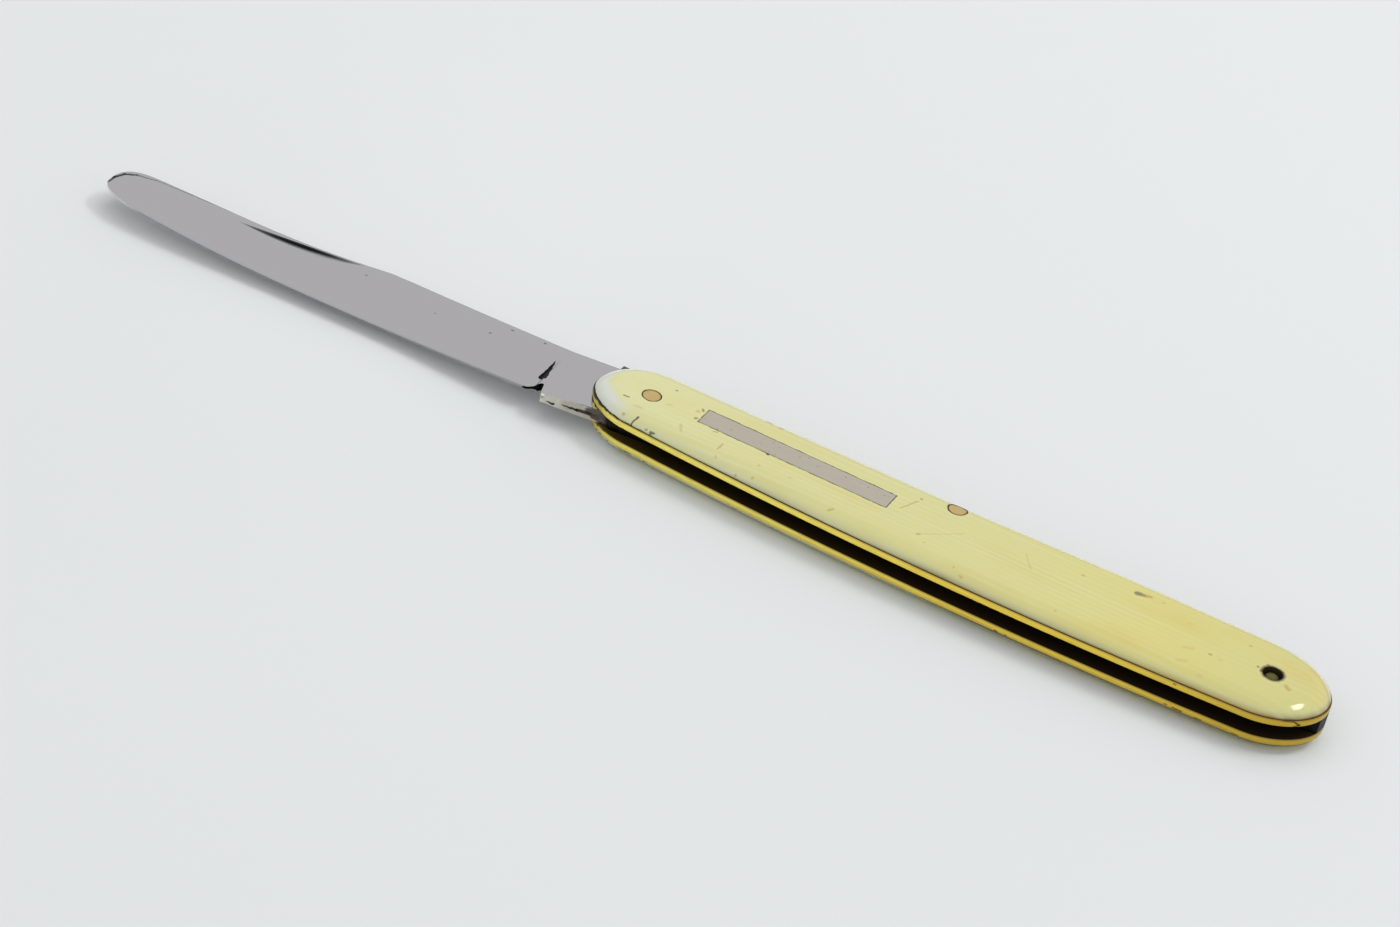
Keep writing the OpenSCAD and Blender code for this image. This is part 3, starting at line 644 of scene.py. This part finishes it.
# %% The layers: yellow clouds, and pale lines that waver along the handle
LAYER_PITCH, LAYER_WANDER = 0.85 * MM, 1.2 * MM
# the thinnest real layers would not show at this distance, so the fine lines are drawn 0.3 mm apart
FINE_PITCH, CLOUD_SIZE = 0.3 * MM, 5 * MM
WANDERS, PATCHES = 50 / 9 * MM, 2.5 * MM
WAVE_PERIOD = math.tau / 20
CLOUDED = 30 * MM


def layer_masks(put, here, slow, x, y):
    drawn_out = put("ShaderNodeMapping", {"Vector": here, "Scale": (0.4, 1, 1)})
    clouds = put(NOISE, {"Vector": drawn_out, "Scale": 1 / CLOUD_SIZE, "Detail": 3.0})
    cloudy = put(RANGE, {"Value": x, "From Min": -CLOUDED, "From Max": CLOUDED, "To Min": 0.25,
                         "To Max": 0.75})
    cloud_mask = put(RANGE, {"Value": clouds, "From Min": 0.45, "From Max": 0.72, "To Max": cloudy})
    wander = put(NOISE, {"Vector": slow, "Scale": 1 / WANDERS, "Detail": 1.0})
    bent_y = put("MULTIPLY_ADD", [wander, LAYER_WANDER, y])
    bent = put(JOIN, [0.0, bent_y, 0.0])
    layers = put("ShaderNodeTexWave", {"Vector": bent, "Scale": WAVE_PERIOD / LAYER_PITCH,
                                       "Distortion": 0.0}, wave_type="BANDS", bands_direction="Y")
    long_grain = put("ShaderNodeMapping", {"Vector": here, "Scale": (0.03, 1, 0.3)})
    fine = put(NOISE, {"Vector": long_grain, "Scale": 1 / FINE_PITCH, "Detail": 2.0})
    patchy = put(NOISE, {"Vector": slow, "Scale": 1 / PATCHES, "Detail": 1.0})
    strength = put(RANGE, {"Value": patchy, "From Min": 0.35, "From Max": 0.65, "To Min": 0.1,
                           "To Max": 0.65})
    towards_butt = put(RANGE, {"Value": x, "From Max": CLOUDED, "To Min": 1.0, "To Max": 0.35})
    strength = put("MULTIPLY", [strength, towards_butt])
    streaky = put("MULTIPLY", [layers.outputs["Fac"], fine])
    pale = put(RANGE, {"Value": streaky, "From Min": 0.22, "From Max": 0.52, "To Max": strength})
    return cloud_mask, pale


print("the layers lie", round(LAYER_PITCH / MM, 2), "mm apart")

# %% The shoulders by their fall: white at the front, pale where thin and, on the far side, a painted sheen
WHITE_FROM, WHITE_TO = -37.5 * MM, -41.5 * MM
UNEVEN = 1 * MM


def shoulder_masks(put, here, x, y, fall):
    uneven = put(NOISE, {"Vector": here, "Scale": 1 / UNEVEN, "Detail": 3.0})
    uneven_fall = put("MULTIPLY_ADD", [uneven, 0.5 * MM, fall])
    whitened = put(RANGE, {"Value": uneven_fall, "From Min": 0.22 * MM, "From Max": 0.6 * MM,
                           "To Max": 0.88}, **SMOOTH)
    at_front = put(RANGE, {"Value": x, "From Min": WHITE_FROM, "From Max": WHITE_TO}, **SMOOTH)
    white_end = put("MULTIPLY", [whitened, at_front])
    # stronger on the far side, where the pale coat is partly a painted sheen
    far_side = put(RANGE, {"Value": y, "From Min": 0.0, "From Max": 4 * MM, "To Min": 0.25, "To Max": 0.55})
    thin_and_sheen = put(RANGE, {"Value": fall, "From Min": 0.35 * MM, "From Max": 0.8 * MM, "To Max": far_side},
                  **SMOOTH)
    return white_end, thin_and_sheen


print("the bleaching sets in over", round((WHITE_FROM - WHITE_TO) / MM, 1), "mm")

# %% Their foot: greyer with thin celluloid and painted shade, grime at the front, painted shade under the back scale
GREY_FROM, GREY_TO, UNDER_SHADE_FROM, UNDER_SHADE_TO = (place * MM for place in (-22, 8, -10, 6))
DIRTY_FROM, DIRTY_TO = -35 * MM, -37 * MM
FOOT_PATCH, GRIME_SIZE = 10 / 9 * MM, 0.4 * MM
MIDDLE_Z = (cad_box[0].z + cad_box[1].z) / 2


def foot_masks(put, here, slow, x, z, fall):
    # the foot's tones are partly thin celluloid and partly painted shade, in patches
    foot_patches = put(NOISE, {"Vector": slow, "Scale": 1 / FOOT_PATCH, "Detail": 1.0})
    least, most = (put(RANGE, {"Value": x, "From Min": GREY_FROM, "From Max": GREY_TO, "To Min": front,
                               "To Max": butt}) for front, butt in ((0.15, 0.5), (0.55, 0.8)))
    greyest = put(RANGE, {"Value": foot_patches, "From Min": 0.35, "From Max": 0.65, "To Min": least,
                          "To Max": most})
    foot = put(RANGE, {"Value": fall, "From Min": 0.6 * MM, "From Max": 1.3 * MM, "To Max": greyest},
               **SMOOTH)
    grimy = put("ShaderNodeMapping", {"Vector": here, "Scale": (0.35, 1, 1)})
    crumbs = put(NOISE, {"Vector": grimy, "Scale": 1 / GRIME_SIZE, "Detail": 3.0})
    crumbly_fall = put("MULTIPLY_ADD", [crumbs, 0.9 * MM, fall])
    grime_and_shade = put(RANGE, {"Value": crumbly_fall, "From Min": 1.64 * MM, "From Max": 1.72 * MM, "To Max": 0.85})
    dirty_part = put(RANGE, {"Value": x, "From Min": DIRTY_FROM, "From Max": DIRTY_TO})
    grime_and_shade = put("MULTIPLY", [grime_and_shade, dirty_part])
    # painted shade on the back scale's visible edge, growing towards the butt
    under = put(RANGE, {"Value": z, "From Min": MIDDLE_Z, "From Max": MIDDLE_Z - MM})
    under_shade_reach = put(RANGE, {"Value": x, "From Min": UNDER_SHADE_FROM, "From Max": UNDER_SHADE_TO, "To Max": 0.8})
    low_rim = put(RANGE, {"Value": fall, "From Min": 0.5 * MM, "From Max": 1.0 * MM})
    under_shade = put("MULTIPLY", [under, under_shade_reach])
    under_shade = put("MULTIPLY", [under_shade, low_rim])
    return foot, grime_and_shade, under_shade


print("the handle's middle is", round(MIDDLE_Z / MM, 2), "mm up")

# %% The dark line round the shield
SHIELD_STAIN = 0.17 * MM


def shield_outline(put, place, z):
    square_on = put("ShaderNodeMapping", {"Vector": place, "Rotation": (0, 0, SHIELD_TURN),
                                          "Location": (shield_middle.x, shield_middle.y, 0)},
                    vector_type="TEXTURE")
    folded = put(VECTOR, [square_on], operation="ABSOLUTE")
    past_corner = put(VECTOR, [folded, SHIELD_SIZE / 2], operation="SUBTRACT")
    beyond = put(SPLIT, [past_corner])
    gap = put("MAXIMUM", [beyond.outputs["X"], beyond.outputs["Y"]])
    packed = put(RANGE, {"Value": gap, "From Min": SHIELD_STAIN, "From Max": SHIELD_STAIN / 2,
                         "To Max": 0.85}, **SMOOTH)
    in_front = put(RANGE, {"Value": z, "From Min": MIDDLE_Z, "From Max": MIDDLE_Z + MM})
    return put("MULTIPLY", [packed, in_front])


print("dirt reaches", round(SHIELD_STAIN / MM, 2), "mm out from the shield")

# %% Mix the celluloid
CREAM = {-41: "#E4E2A2", -18: "#DFDA94", 4: "#DED990", 24: "#E0D67E", 41: "#D8D284"}
FOOT_TONES = {-41: "#BEC0AE", -16: "#A4A48C", 2: "#827A58", 22: "#968850", 36: "#A4843C", 42: "#745E2C"}
HALF_HANDLE = TOP - MIDDLE_Z
RIPPLES = 5 / 3 * MM
# round each pin: how much wider than the pin in millimetres, the soft edge, and the strength
PIN_STAINS = {"pivot_pin": (0.04, 0.1, 0.85), "centre_pin": (0.04, 0.14, 0.85), "end_pin": (0.1, 0.4, 0.97)}
SHIELD_REAR = [(DIRT, 0.85, (-8.5, -0.3), (-8.5, 2.2), 0.06, 0.06, 0.1)]


def ivory_celluloid():
    made, tree, put = new_material("ivory_grained_celluloid")
    here = put("ShaderNodeTexCoord").outputs["Object"]
    split = put(SPLIT, [here])
    x, y, z = (split.outputs[axis] for axis in "XYZ")
    slow = put("ShaderNodeMapping", {"Vector": here, "Scale": (0.12, 1, 1)})
    off_middle = put("SUBTRACT", [z, MIDDLE_Z])
    off_centre = put("ABSOLUTE", [off_middle])
    fall = put("SUBTRACT", [HALF_HANDLE, off_centre])
    cloud_mask, pale = layer_masks(put, here, slow, x, y)
    white_end, thin_and_sheen = shoulder_masks(put, here, x, y, fall)
    foot, grime_and_shade, under_shade = foot_masks(put, here, slow, x, z, fall)
    # painted light among these coats: a sheen in the far shoulder's pale coat, shade at the foot and under
    # the back scale
    colour = lay_coats(tree, aged_along(tree, x, CREAM).outputs[0],
                       [(cloud_mask, "#DCC96E"), (pale, "#E1E1B2"), (white_end, "#E3E6E0"),
                        (thin_and_sheen, "#CDD2B4"), (foot, aged_along(tree, x, FOOT_TONES).outputs[0]),
                        (grime_and_shade, "#33301F"), (under_shade, "#3E3826")])

    # single marks, then the dirt round the pins and the shield
    place, _ = ragged_place(tree, here)
    colour = lay_marks(tree, colour, place, FRONT_MARKS + SHIELD_REAR)
    for node, (pin_at, radius) in pins.items():
        wider, soft, strength = PIN_STAINS[node]
        spread = radius / MM + wider
        middle = pin_at.xy / MM
        ring = (DIRT, strength, middle, middle + Vector((0.01, 0)), spread, spread, soft)
        colour = lay_marks(tree, colour, place, [ring])
    colour = lay_coats(tree, colour, [(shield_outline(put, place, z), "#37331F")])

    ripple = put(NOISE, {"Vector": here, "Scale": 1 / RIPPLES, "Detail": 2.0})
    hand_polish = put("ShaderNodeBump", {"Strength": 0.15, "Distance": 0.01 * MM, "Height": ripple})
    shader = put("ShaderNodeBsdfPrincipled", {"Base Color": colour, "Roughness": 0.5, "IOR": 1.5,
                                              "Specular IOR Level": 0.3, "Coat Weight": 1.0,
                                              "Coat Roughness": 0.1, "Coat Normal": hand_polish})
    put("ShaderNodeOutputMaterial", {"Surface": shader})
    print(made.name, "takes", len(tree.nodes), "nodes")
    return made


celluloid = ivory_celluloid()

# %% [markdown]
# ## The metals
#
# Five metals meet here. The blade is stainless steel, glazed on a fine wheel to a mirror, so it shows the
# room and little colour of its own. The spring is carbon steel, darkened by age to a dull brown. The liners
# are rolled brass: the filed edges flash yellow, and the faces, which are never cleaned, stay dark. The
# pins are brass wire, filed flush and dulled by handling, and the shield is nickel silver, rubbed to a warm
# satin in a pocket. All five use one shader and differ in colour, in gloss and in dirt. The blade and the
# shield reflect as metal only. Where a surface is old and dirty, as on the spring, the pins and the liners'
# faces, the shader is told that it is less of a metal.

# %% The shader that the metals share
def metal_surface(made, colour, roughness, metallic):
    shader = add(made.node_tree, "ShaderNodeBsdfPrincipled",
                 {"Base Color": colour, "Roughness": roughness, "Metallic": metallic})
    add(made.node_tree, "ShaderNodeOutputMaterial", {"Surface": shader})
    print(made.name, "takes", len(made.node_tree.nodes), "nodes")
    return made


# %% The blade's mirror, with painted dark reflections at the plunge and the tip, and painted shade in hollows
BLADE_MARKS = [
    # painted dark reflection: the black teardrop at the plunge
    ("#0E0E10", 1.0, (-50.28, -1.05), (-50.64, 2.75), 0.45, 0.0, 0.05),
    # painted dark reflection along the tip's edge, fading along the spine
    ("#26342A", 0.9, (-108.35, -0.8), (-108.3, 0.5), 0.04, 0.12, 0.1),
    ("#26342A", 0.9, (-108.3, 0.5), (-107.75, 1.7), 0.12, 0.14, 0.1),
    ("#26342A", 0.85, (-107.75, 1.7), (-106.6, 2.45), 0.14, 0.1, 0.1),
    ("#5A685E", 0.6, (-106.6, 2.45), (-104.2, 3.02), 0.1, 0.04, 0.1),
    ("#7A847C", 0.5, (-104.2, 3.02), (-94.0, 3.48), 0.04, 0.04, 0.1),
    ("#2A2622", 0.75, (-44.7, 1.6), (-44.5, 3.4), 0.08, 0.12, 0.14),
    ("#2A2622", 0.7, (-44.55, 3.4), (-43.1, 5.3), 0.12, 0.1, 0.12),
    ("#86848A", 0.6, (-75.7, 2.9), (-75.6, 2.9), 0.05, 0.05, 0.15),
    ("#86848A", 0.6, (-65.9, 1.7), (-65.8, 1.7), 0.04, 0.04, 0.1),
    ("#5A5658", 0.8, (-59.1, 2.5), (-59.0, 2.5), 0.05, 0.05, 0.08),
    ("#5A5658", 0.8, (-57.4, 4.6), (-57.2, 4.6), 0.05, 0.05, 0.08),
    ("#5A5658", 0.8, (-53.3, 4.8), (-53.1, 4.8), 0.05, 0.05, 0.08)]

# along the tang's foot and up it, instead of along and across
TANG_FOOT_MARKS = [
    ("#A09A8E", 0.5, (-45.5, 3.1), (-42.0, 3.1), 0.5, 0.9, 0.8),
    # painted glints on the corners of the kick
    ("#F4F6F2", 0.9, (-48.95, 3.6), (-48.6, 3.55), 0.12, 0.14, 0.14),
    ("#F4F6F2", 0.7, (-48.9, 2.45), (-48.5, 2.4), 0.1, 0.1, 0.12),
    (DIRT, 0.8, (-48.75, 3.05), (-48.6, 3.2), 0.03, 0.05, 0.08),
    (DIRT, 0.95, (-48.0, 2.78), (-47.3, 2.72), 0.03, 0.14, 0.08),
    (DIRT, 0.95, (-46.3, 2.98), (-44.6, 2.92), 0.02, 0.14, 0.1),
    (DIRT, 0.9, (-44.6, 2.92), (-43.0, 3.0), 0.14, 0.16, 0.12),
    # painted shade where the tang runs in under the liners
    ("#2C2620", 0.8, (-43.2, 3.3), (-41.6, 3.6), 0.25, 0.5, 0.4),
    ("#4E3A2C", 0.9, (-42.7, 2.8), (-42.2, 2.75), 0.22, 0.26, 0.2),
    # painted shade, deepening inside the handle
    ("#57504A", 0.9, (-41.6, 2.7), (-40.2, 2.9), 0.5, 0.7, 0.4),
    ("#15110C", 0.95, (-40.0, 3.0), (-36.0, 3.0), 0.8, 1.2, 0.8),
    (DIRT, 0.98, (-44.6, 3.9), (-43.0, 3.92), 0.03, 0.09, 0.05)]
TANG_FROM, TANG_TO, EDGE_SHADE_FROM, EDGE_SHADE_TO = (place * MM for place in (-49.0, -48.9, -104.5, -102.0))
NOTCH_START, NOTCH_END, NICK_START, NICK_END = (place * MM for place in (-51.4, -49.35, -92.6, -76.0))
# where the nick's painted shade lies, and the depths at which it starts and is full
NICK_ABOVE, NICK_UNSHADED, NICK_DARK = 1.5 * MM, 0.05 * MM, 0.28 * MM
# the ground face's slope across the blade, and its height at the knife's long axis
GROUND_SLOPE, GROUND_Z = 0.0425, 3.287 * MM
WORN_SPOTS, HAZE = 0.625 * MM, 2.5 * MM
# which way a face looks, by its normal's part along an axis
EDGEWARDS_FROM, EDGEWARDS_TO, UPRIGHT_FROM, UPRIGHT_TO = -0.5, -0.7, 0.4, 0.2
BACKWARDS, DOWNWARDS = 0.5, -0.2
print(len(BLADE_MARKS + TANG_FOOT_MARKS), "marks on the blade")


def mirror_steel():
    made, tree, put = new_material("mirror_polished_stainless")
    coordinates = put("ShaderNodeTexCoord")
    here = coordinates.outputs["Object"]
    place, shift = ragged_place(tree, here)
    marked = lay_marks(tree, linear("#D2D0D2"), place, BLADE_MARKS)
    split = put(SPLIT, [here])
    x, y, z = (split.outputs[axis] for axis in "XYZ")
    facing = put(SPLIT, [coordinates.outputs["Normal"]])
    towards_edge = put(RANGE, {"Value": facing.outputs["Y"], "From Min": EDGEWARDS_FROM,
                               "From Max": EDGEWARDS_TO})

    # the narrow faces: beige and dirty under the tang, black in the notch and darker along the edge, both
    # painted shade
    on_tang = put(RANGE, {"Value": x, "From Min": TANG_FROM, "From Max": TANG_TO})
    tang_foot = put("MULTIPLY", [on_tang, towards_edge])
    side_on = put(VECTOR, [put(JOIN, [x, z]), shift], operation="ADD")
    worn = put(NOISE, {"Vector": here, "Scale": 1 / WORN_SPOTS, "Detail": 3.0})
    foot_colour = lay_coats(tree, linear("#DAD8D0"), [(worn, "#B8B0A0")])
    foot_colour = lay_marks(tree, foot_colour, side_on, TANG_FOOT_MARKS)
    flatness = put("ABSOLUTE", [facing.outputs["Z"]])
    upright = put(RANGE, {"Value": flatness, "From Min": UPRIGHT_FROM, "From Max": UPRIGHT_TO})
    edge_side = put("LESS_THAN", [y, 0.0])
    upright = put("MULTIPLY", [upright, edge_side])
    past_start = put("GREATER_THAN", [x, NOTCH_START])
    before_end = put("LESS_THAN", [x, NOTCH_END])
    in_notch = put("MULTIPLY", [past_start, before_end])
    # the notch's wall is painted near-black, a painted shade
    notch_shade = put("MULTIPLY", [in_notch, upright])
    # the edge's narrow face is painted darker, a painted shade that dulls its reflection, except near the
    # tip
    off_tip = put(RANGE, {"Value": x, "From Min": EDGE_SHADE_FROM, "From Max": EDGE_SHADE_TO})
    off_notch = put("SUBTRACT", [1.0, past_start])
    edge_shade_part = put("MULTIPLY", [off_tip, off_notch])
    edge_face_shade = put("MULTIPLY", [edge_shade_part, upright])

    # the nick: painted shade with some grime, dark where it is deep, clearing up the wall and towards the
    # lip
    ground_face = put("MULTIPLY_ADD", [y, GROUND_SLOPE, GROUND_Z])
    depth = put("SUBTRACT", [ground_face, z])
    grime_and_shade = put(RANGE, {"Value": depth, "From Min": NICK_UNSHADED, "From Max": NICK_DARK, "To Max": 0.95})
    for value, limit, side in ((x, NICK_START, "GREATER_THAN"), (x, NICK_END, "LESS_THAN"),
                               (y, NICK_ABOVE, "GREATER_THAN"),
                               (facing.outputs["Y"], BACKWARDS, "LESS_THAN"),
                               (facing.outputs["Z"], DOWNWARDS, "GREATER_THAN")):
        inside = put(side, [value, limit])
        grime_and_shade = put("MULTIPLY", [grime_and_shade, inside])
    colour = lay_coats(tree, marked, [(tang_foot, foot_colour), (notch_shade, "#121412"), (edge_face_shade, "#9C9C9E"),
                                      (grime_and_shade, "#46544A")])
    haze = put(NOISE, {"Vector": here, "Scale": 1 / HAZE, "Detail": 4.0})
    gloss = put(RANGE, {"Value": haze, "To Min": 0.06, "To Max": 0.12})
    rough = put("MULTIPLY_ADD", [tang_foot, 0.2, gloss])
    return metal_surface(made, colour, roughness=rough, metallic=1.0)


# %% The spring, brown with age, and painted black with shade at its tail
STAINS = 10 / 7 * MM
TAIL_FROM, TAIL_TO = 32 * MM, 36 * MM


def aged_spring_steel():
    made, tree, put = new_material("aged_spring_steel")
    here = put("ShaderNodeTexCoord").outputs["Object"]
    stains = put(NOISE, {"Vector": here, "Scale": 1 / STAINS, "Detail": 5.0})
    dark = put(RANGE, {"Value": stains, "From Min": 0.4, "From Max": 0.65})
    x = put(SPLIT, [here]).outputs["X"]
    # the tail, deep in the slot at the butt, is painted near-black: a painted shade
    tail_shade = put(RANGE, {"Value": x, "From Min": TAIL_FROM, "From Max": TAIL_TO, "To Max": 0.97})
    colour = lay_coats(tree, linear("#6A6462"), [(dark, "#2E2622"), (tail_shade, "#0A080A")])
    return metal_surface(made, colour, roughness=0.5, metallic=0.8)


# %% The liners' brass: bright crowned edges, dirty faces, a ragged black front
# the tones of the filed edge, of the faces, and of the front liner's face beside its scale
BRASS = {-42: "#FFEE7C", -20: "#FFEE78", 4: "#FADC5C", 24: "#F0D256", 41: "#CCAC42"}
INNER = {-44: "#8A7838", -40: "#5E4E20", -34: "#403418", 0: "#3A2C1C", 41: "#34281C"}
LEDGE = {-43: "#2A281C", -34: "#6A5C38", -22: "#3A2418", -4: "#5A3A26", 41: "#6A4426"}
# real file lines are too fine to show at this distance, so they are drawn 0.12 mm apart
BRUSH_PITCH, FLECK_SIZE, LEDGE_DEPTH = 0.12 * MM, 0.6 * MM, 0.3 * MM
FLECKS_FROM, FLECKS_TO, NOSE_FROM, NOSE_TO = (place * MM for place in (-37, -43.5, -42.8, -44.0))
LINER_MIDDLE = (liner_lo.z + liner_hi.z) / 2 - MIDDLE_Z
LINER_EDGE_MARKS = [
    (DIRT, 0.85, (9.0, 1.45), (9.3, 1.4), 0.06, 0.04, 0.1),
    (DIRT, 0.7, (10.2, 1.4), (10.4, 1.4), 0.04, 0.04, 0.1),
    ("#5C4418", 0.7, (28.9, 1.6), (29.1, 1.6), 0.05, 0.05, 0.1),
    ("#5C4418", 0.8, (29.8, 1.56), (30.8, 1.5), 0.05, 0.06, 0.1),
    ("#5C4418", 0.6, (32.4, 1.44), (33.1, 1.42), 0.05, 0.05, 0.12),
    ("#5C4418", 0.6, (36.6, 1.45), (37.2, 1.42), 0.04, 0.06, 0.12),
    ("#6A4A1C", 0.6, (29.2, 4.5), (29.4, 4.5), 0.05, 0.05, 0.12),
    ("#4A3C18", 0.7, (41.1, 4.75), (42.1, 4.68), 0.05, 0.06, 0.1),
    (DIRT, 0.85, (42.2, 4.62), (42.7, 4.2), 0.04, 0.08, 0.06),
    (DIRT, 0.8, (42.7, 4.15), (42.2, 4.0), 0.08, 0.03, 0.06)]
print(len(LINER_EDGE_MARKS), "marks on the liners' edges")


def rolled_brass():
    made, tree, put = new_material("rolled_brass")
    coordinates = put("ShaderNodeTexCoord")
    here = coordinates.outputs["Object"]
    split = put(SPLIT, [here])
    x, y, z = (split.outputs[axis] for axis in "XYZ")
    drawn = put("ShaderNodeMapping", {"Vector": here, "Scale": (0.03, 1, 1)})
    brushed = put(NOISE, {"Vector": drawn, "Scale": 1 / BRUSH_PITCH, "Detail": 2.0})
    line = put(RANGE, {"Value": brushed, "From Min": 0.45, "From Max": 0.7, "To Max": 0.25})

    # flecks and dull places, by the distance from the knife's middle and from each liner's own
    specks = put(NOISE, {"Vector": here, "Scale": 1 / FLECK_SIZE, "Detail": 3.0})
    off_middle = put("SUBTRACT", [z, MIDDLE_Z])
    off_centre = put("ABSOLUTE", [off_middle])
    past_middle = put("SUBTRACT", [off_centre, LINER_MIDDLE])
    off_edge = put("ABSOLUTE", [past_middle])
    ragged = put("MULTIPLY_ADD", [specks, 0.9 * MM, off_edge])
    limit = put(RANGE, {"Value": x, "From Min": FLECKS_FROM, "From Max": FLECKS_TO, "To Min": 1.0 * MM,
                        "To Max": 0.68 * MM})
    over = put("SUBTRACT", [ragged, limit])
    fleck = put(RANGE, {"Value": over, "From Max": 0.04 * MM, "To Max": 0.92})
    at_nose = put(RANGE, {"Value": x, "From Min": NOSE_FROM, "From Max": NOSE_TO})
    past_tang = put(RANGE, {"Value": y, "From Min": -1.6 * MM, "From Max": -0.4 * MM, "To Max": 0.95})
    black_nose = put("MULTIPLY", [at_nose, past_tang])
    which = put("SIGN", [off_middle])
    upwards = put("MULTIPLY", [past_middle, which])
    dull_part = put(RANGE, {"Value": which, "From Min": 1.0, "From Max": -1.0, "To Min": 0.4,
                            "To Max": 0.65})
    dull_top = put(RANGE, {"Value": upwards, "From Min": 0.14 * MM, "From Max": 0.36 * MM,
                           "To Max": dull_part}, **SMOOTH)
    colour = lay_coats(tree, aged_along(tree, x, BRASS).outputs[0],
                       [(line, "#B08A30"), (fleck, "#1C160C"), (black_nose, "#1C1814"),
                        (dull_top, "#806A34")])
    side_on = put(JOIN, [x, z])
    colour = lay_marks(tree, colour, side_on, LINER_EDGE_MARKS)

    facing = put(SPLIT, [coordinates.outputs["Normal"]])
    level = put("ABSOLUTE", [facing.outputs["Z"]])
    face_dirt = put(RANGE, {"Value": level, "From Min": 0.55, "From Max": 0.85})
    inner = aged_along(tree, x, INNER).outputs[0]
    on_ledge = put("GREATER_THAN", [z, liner_hi.z - LEDGE_DEPTH])
    never_cleaned = lay_coats(tree, inner, [(on_ledge, aged_along(tree, x, LEDGE).outputs[0])])
    colour = lay_coats(tree, colour, [(face_dirt, never_cleaned)])
    tarnish = put(RANGE, {"Value": brushed, "To Min": 0.24, "To Max": 0.4})
    bare = put("MULTIPLY_ADD", [face_dirt, -0.75, 1.0])
    return metal_surface(made, colour, roughness=tarnish, metallic=bare)


# %% The pins: brass wire with a dark rim, and one that has sunk and tarnished
CLOUDING, REACH = 10 / 9 * MM, 1.05
RIM_DIRT = "#2C2414"


def pin_wire(name, light, dark, rim_from, rough):
    made, tree, put = new_material(name)
    here = put("ShaderNodeTexCoord").outputs["Object"]
    clouds = put(NOISE, {"Vector": here, "Scale": 1 / CLOUDING, "Detail": 4.0})
    coats = [(clouds, dark)]
    flat = put(VECTOR, [here, (1, 1, 0)], operation="MULTIPLY")
    for pin_at, radius in pins.values():
        off_axis = put(VECTOR, [flat, pin_at], operation="DISTANCE").outputs["Value"]
        inner = put(RANGE, {"Value": off_axis, "From Min": rim_from * radius, "From Max": radius})
        in_pin = put("LESS_THAN", [off_axis, radius * REACH])
        rim = put("MULTIPLY", [inner, in_pin])
        coats.append((rim, RIM_DIRT))
    colour = lay_coats(tree, linear(light), coats)
    return metal_surface(made, colour, roughness=rough, metallic=0.3)


# %% The shield's nickel silver, rubbed satin lengthwise
# the scratches of a pocket are hair-fine, so their grain is drawn a third of a millimetre wide
RUBBED_GRAIN, PITS = MM / 3, 0.4 * MM


def worn_nickel_silver():
    made, tree, put = new_material("worn_nickel_silver")
    here = put("ShaderNodeTexCoord").outputs["Object"]
    rubbed = put("ShaderNodeMapping", {"Vector": here, "Scale": (0.15, 1, 1)})
    grain = put(NOISE, {"Vector": rubbed, "Scale": 1 / RUBBED_GRAIN, "Detail": 3.0})
    pits = put(NOISE, {"Vector": here, "Scale": 1 / PITS, "Detail": 1.0})
    pitted = put(RANGE, {"Value": pits, "From Min": 0.72, "From Max": 0.76, "To Max": 0.7})
    colour = lay_coats(tree, linear("#E6DECC"), [(grain, "#DBD3C1"), (pitted, "#8C8474")])
    return metal_surface(made, colour, roughness=0.32, metallic=1.0)


stainless, spring_steel, brass = mirror_steel(), aged_spring_steel(), rolled_brass()
wire = pin_wire("filed_brass_wire", "#D6BA7C", "#C8A866", rim_from=0.86, rough=0.5)
sunk_wire = pin_wire("tarnished_brass_wire", "#84742E", "#544A22", rim_from=0.2, rough=0.6)
nickel_silver = worn_nickel_silver()

# %% Cut the two liners and the two scales
LINER_T = liner_hi.z - liner_lo.z
SCALE_T = scale_hi.z - scale_lo.z
CROWN, CROWN_H = 0.06 * MM, 0.38 * MM
LINER_SIZES = {"Thickness": LINER_T, "Quarter Round": True, "Shoulder Width": CROWN,
               "Shoulder Height": CROWN_H, "Rim Break": CROWN, "Rim Height": CROWN_H, "Shoulder Steps": 7}
SCALE_SIZES = {"Thickness": SCALE_T, "Inset": SCALE_INSET, "Shoulder Width": SHOULDER_W,
               "Shoulder Height": SHOULDER_H, "Shoulder Steps": 18, "Pin Gap": SCALE_GAP}
make_plate("front_liner_finish", "front_liner", brass, dict(LINER_SIZES, Level=liner_lo.z))
make_plate("back_liner_finish", "back_liner", brass, dict(LINER_SIZES, Level=back_liner_lo.z))
make_plate("front_scale_finish", "front_scale", celluloid,
           {**SCALE_SIZES, "Level": scale_lo.z, "Let In Shield": True})
make_plate("back_scale_finish", "back_scale", celluloid,
           {**SCALE_SIZES, "Level": SCALE_T, "Face Down": True})

# %% [markdown]
# ## The pieces that keep their own mesh
#
# The blade, the spring, the pins and the shield are right as they are packed, so they only get their metal.

# %% Give each its metal
METALS = {"blade": stainless, "back_spring": spring_steel, "pivot_pin": wire, "centre_pin": wire,
          "end_pin": sunk_wire, "shield": nickel_silver, "shield_pin_front": wire, "shield_pin_rear": wire}
for node, metal in METALS.items():
    slots = frame["nodes"][node].data.materials
    slots.clear()
    slots.append(metal)
    print(node, "is", metal.name)
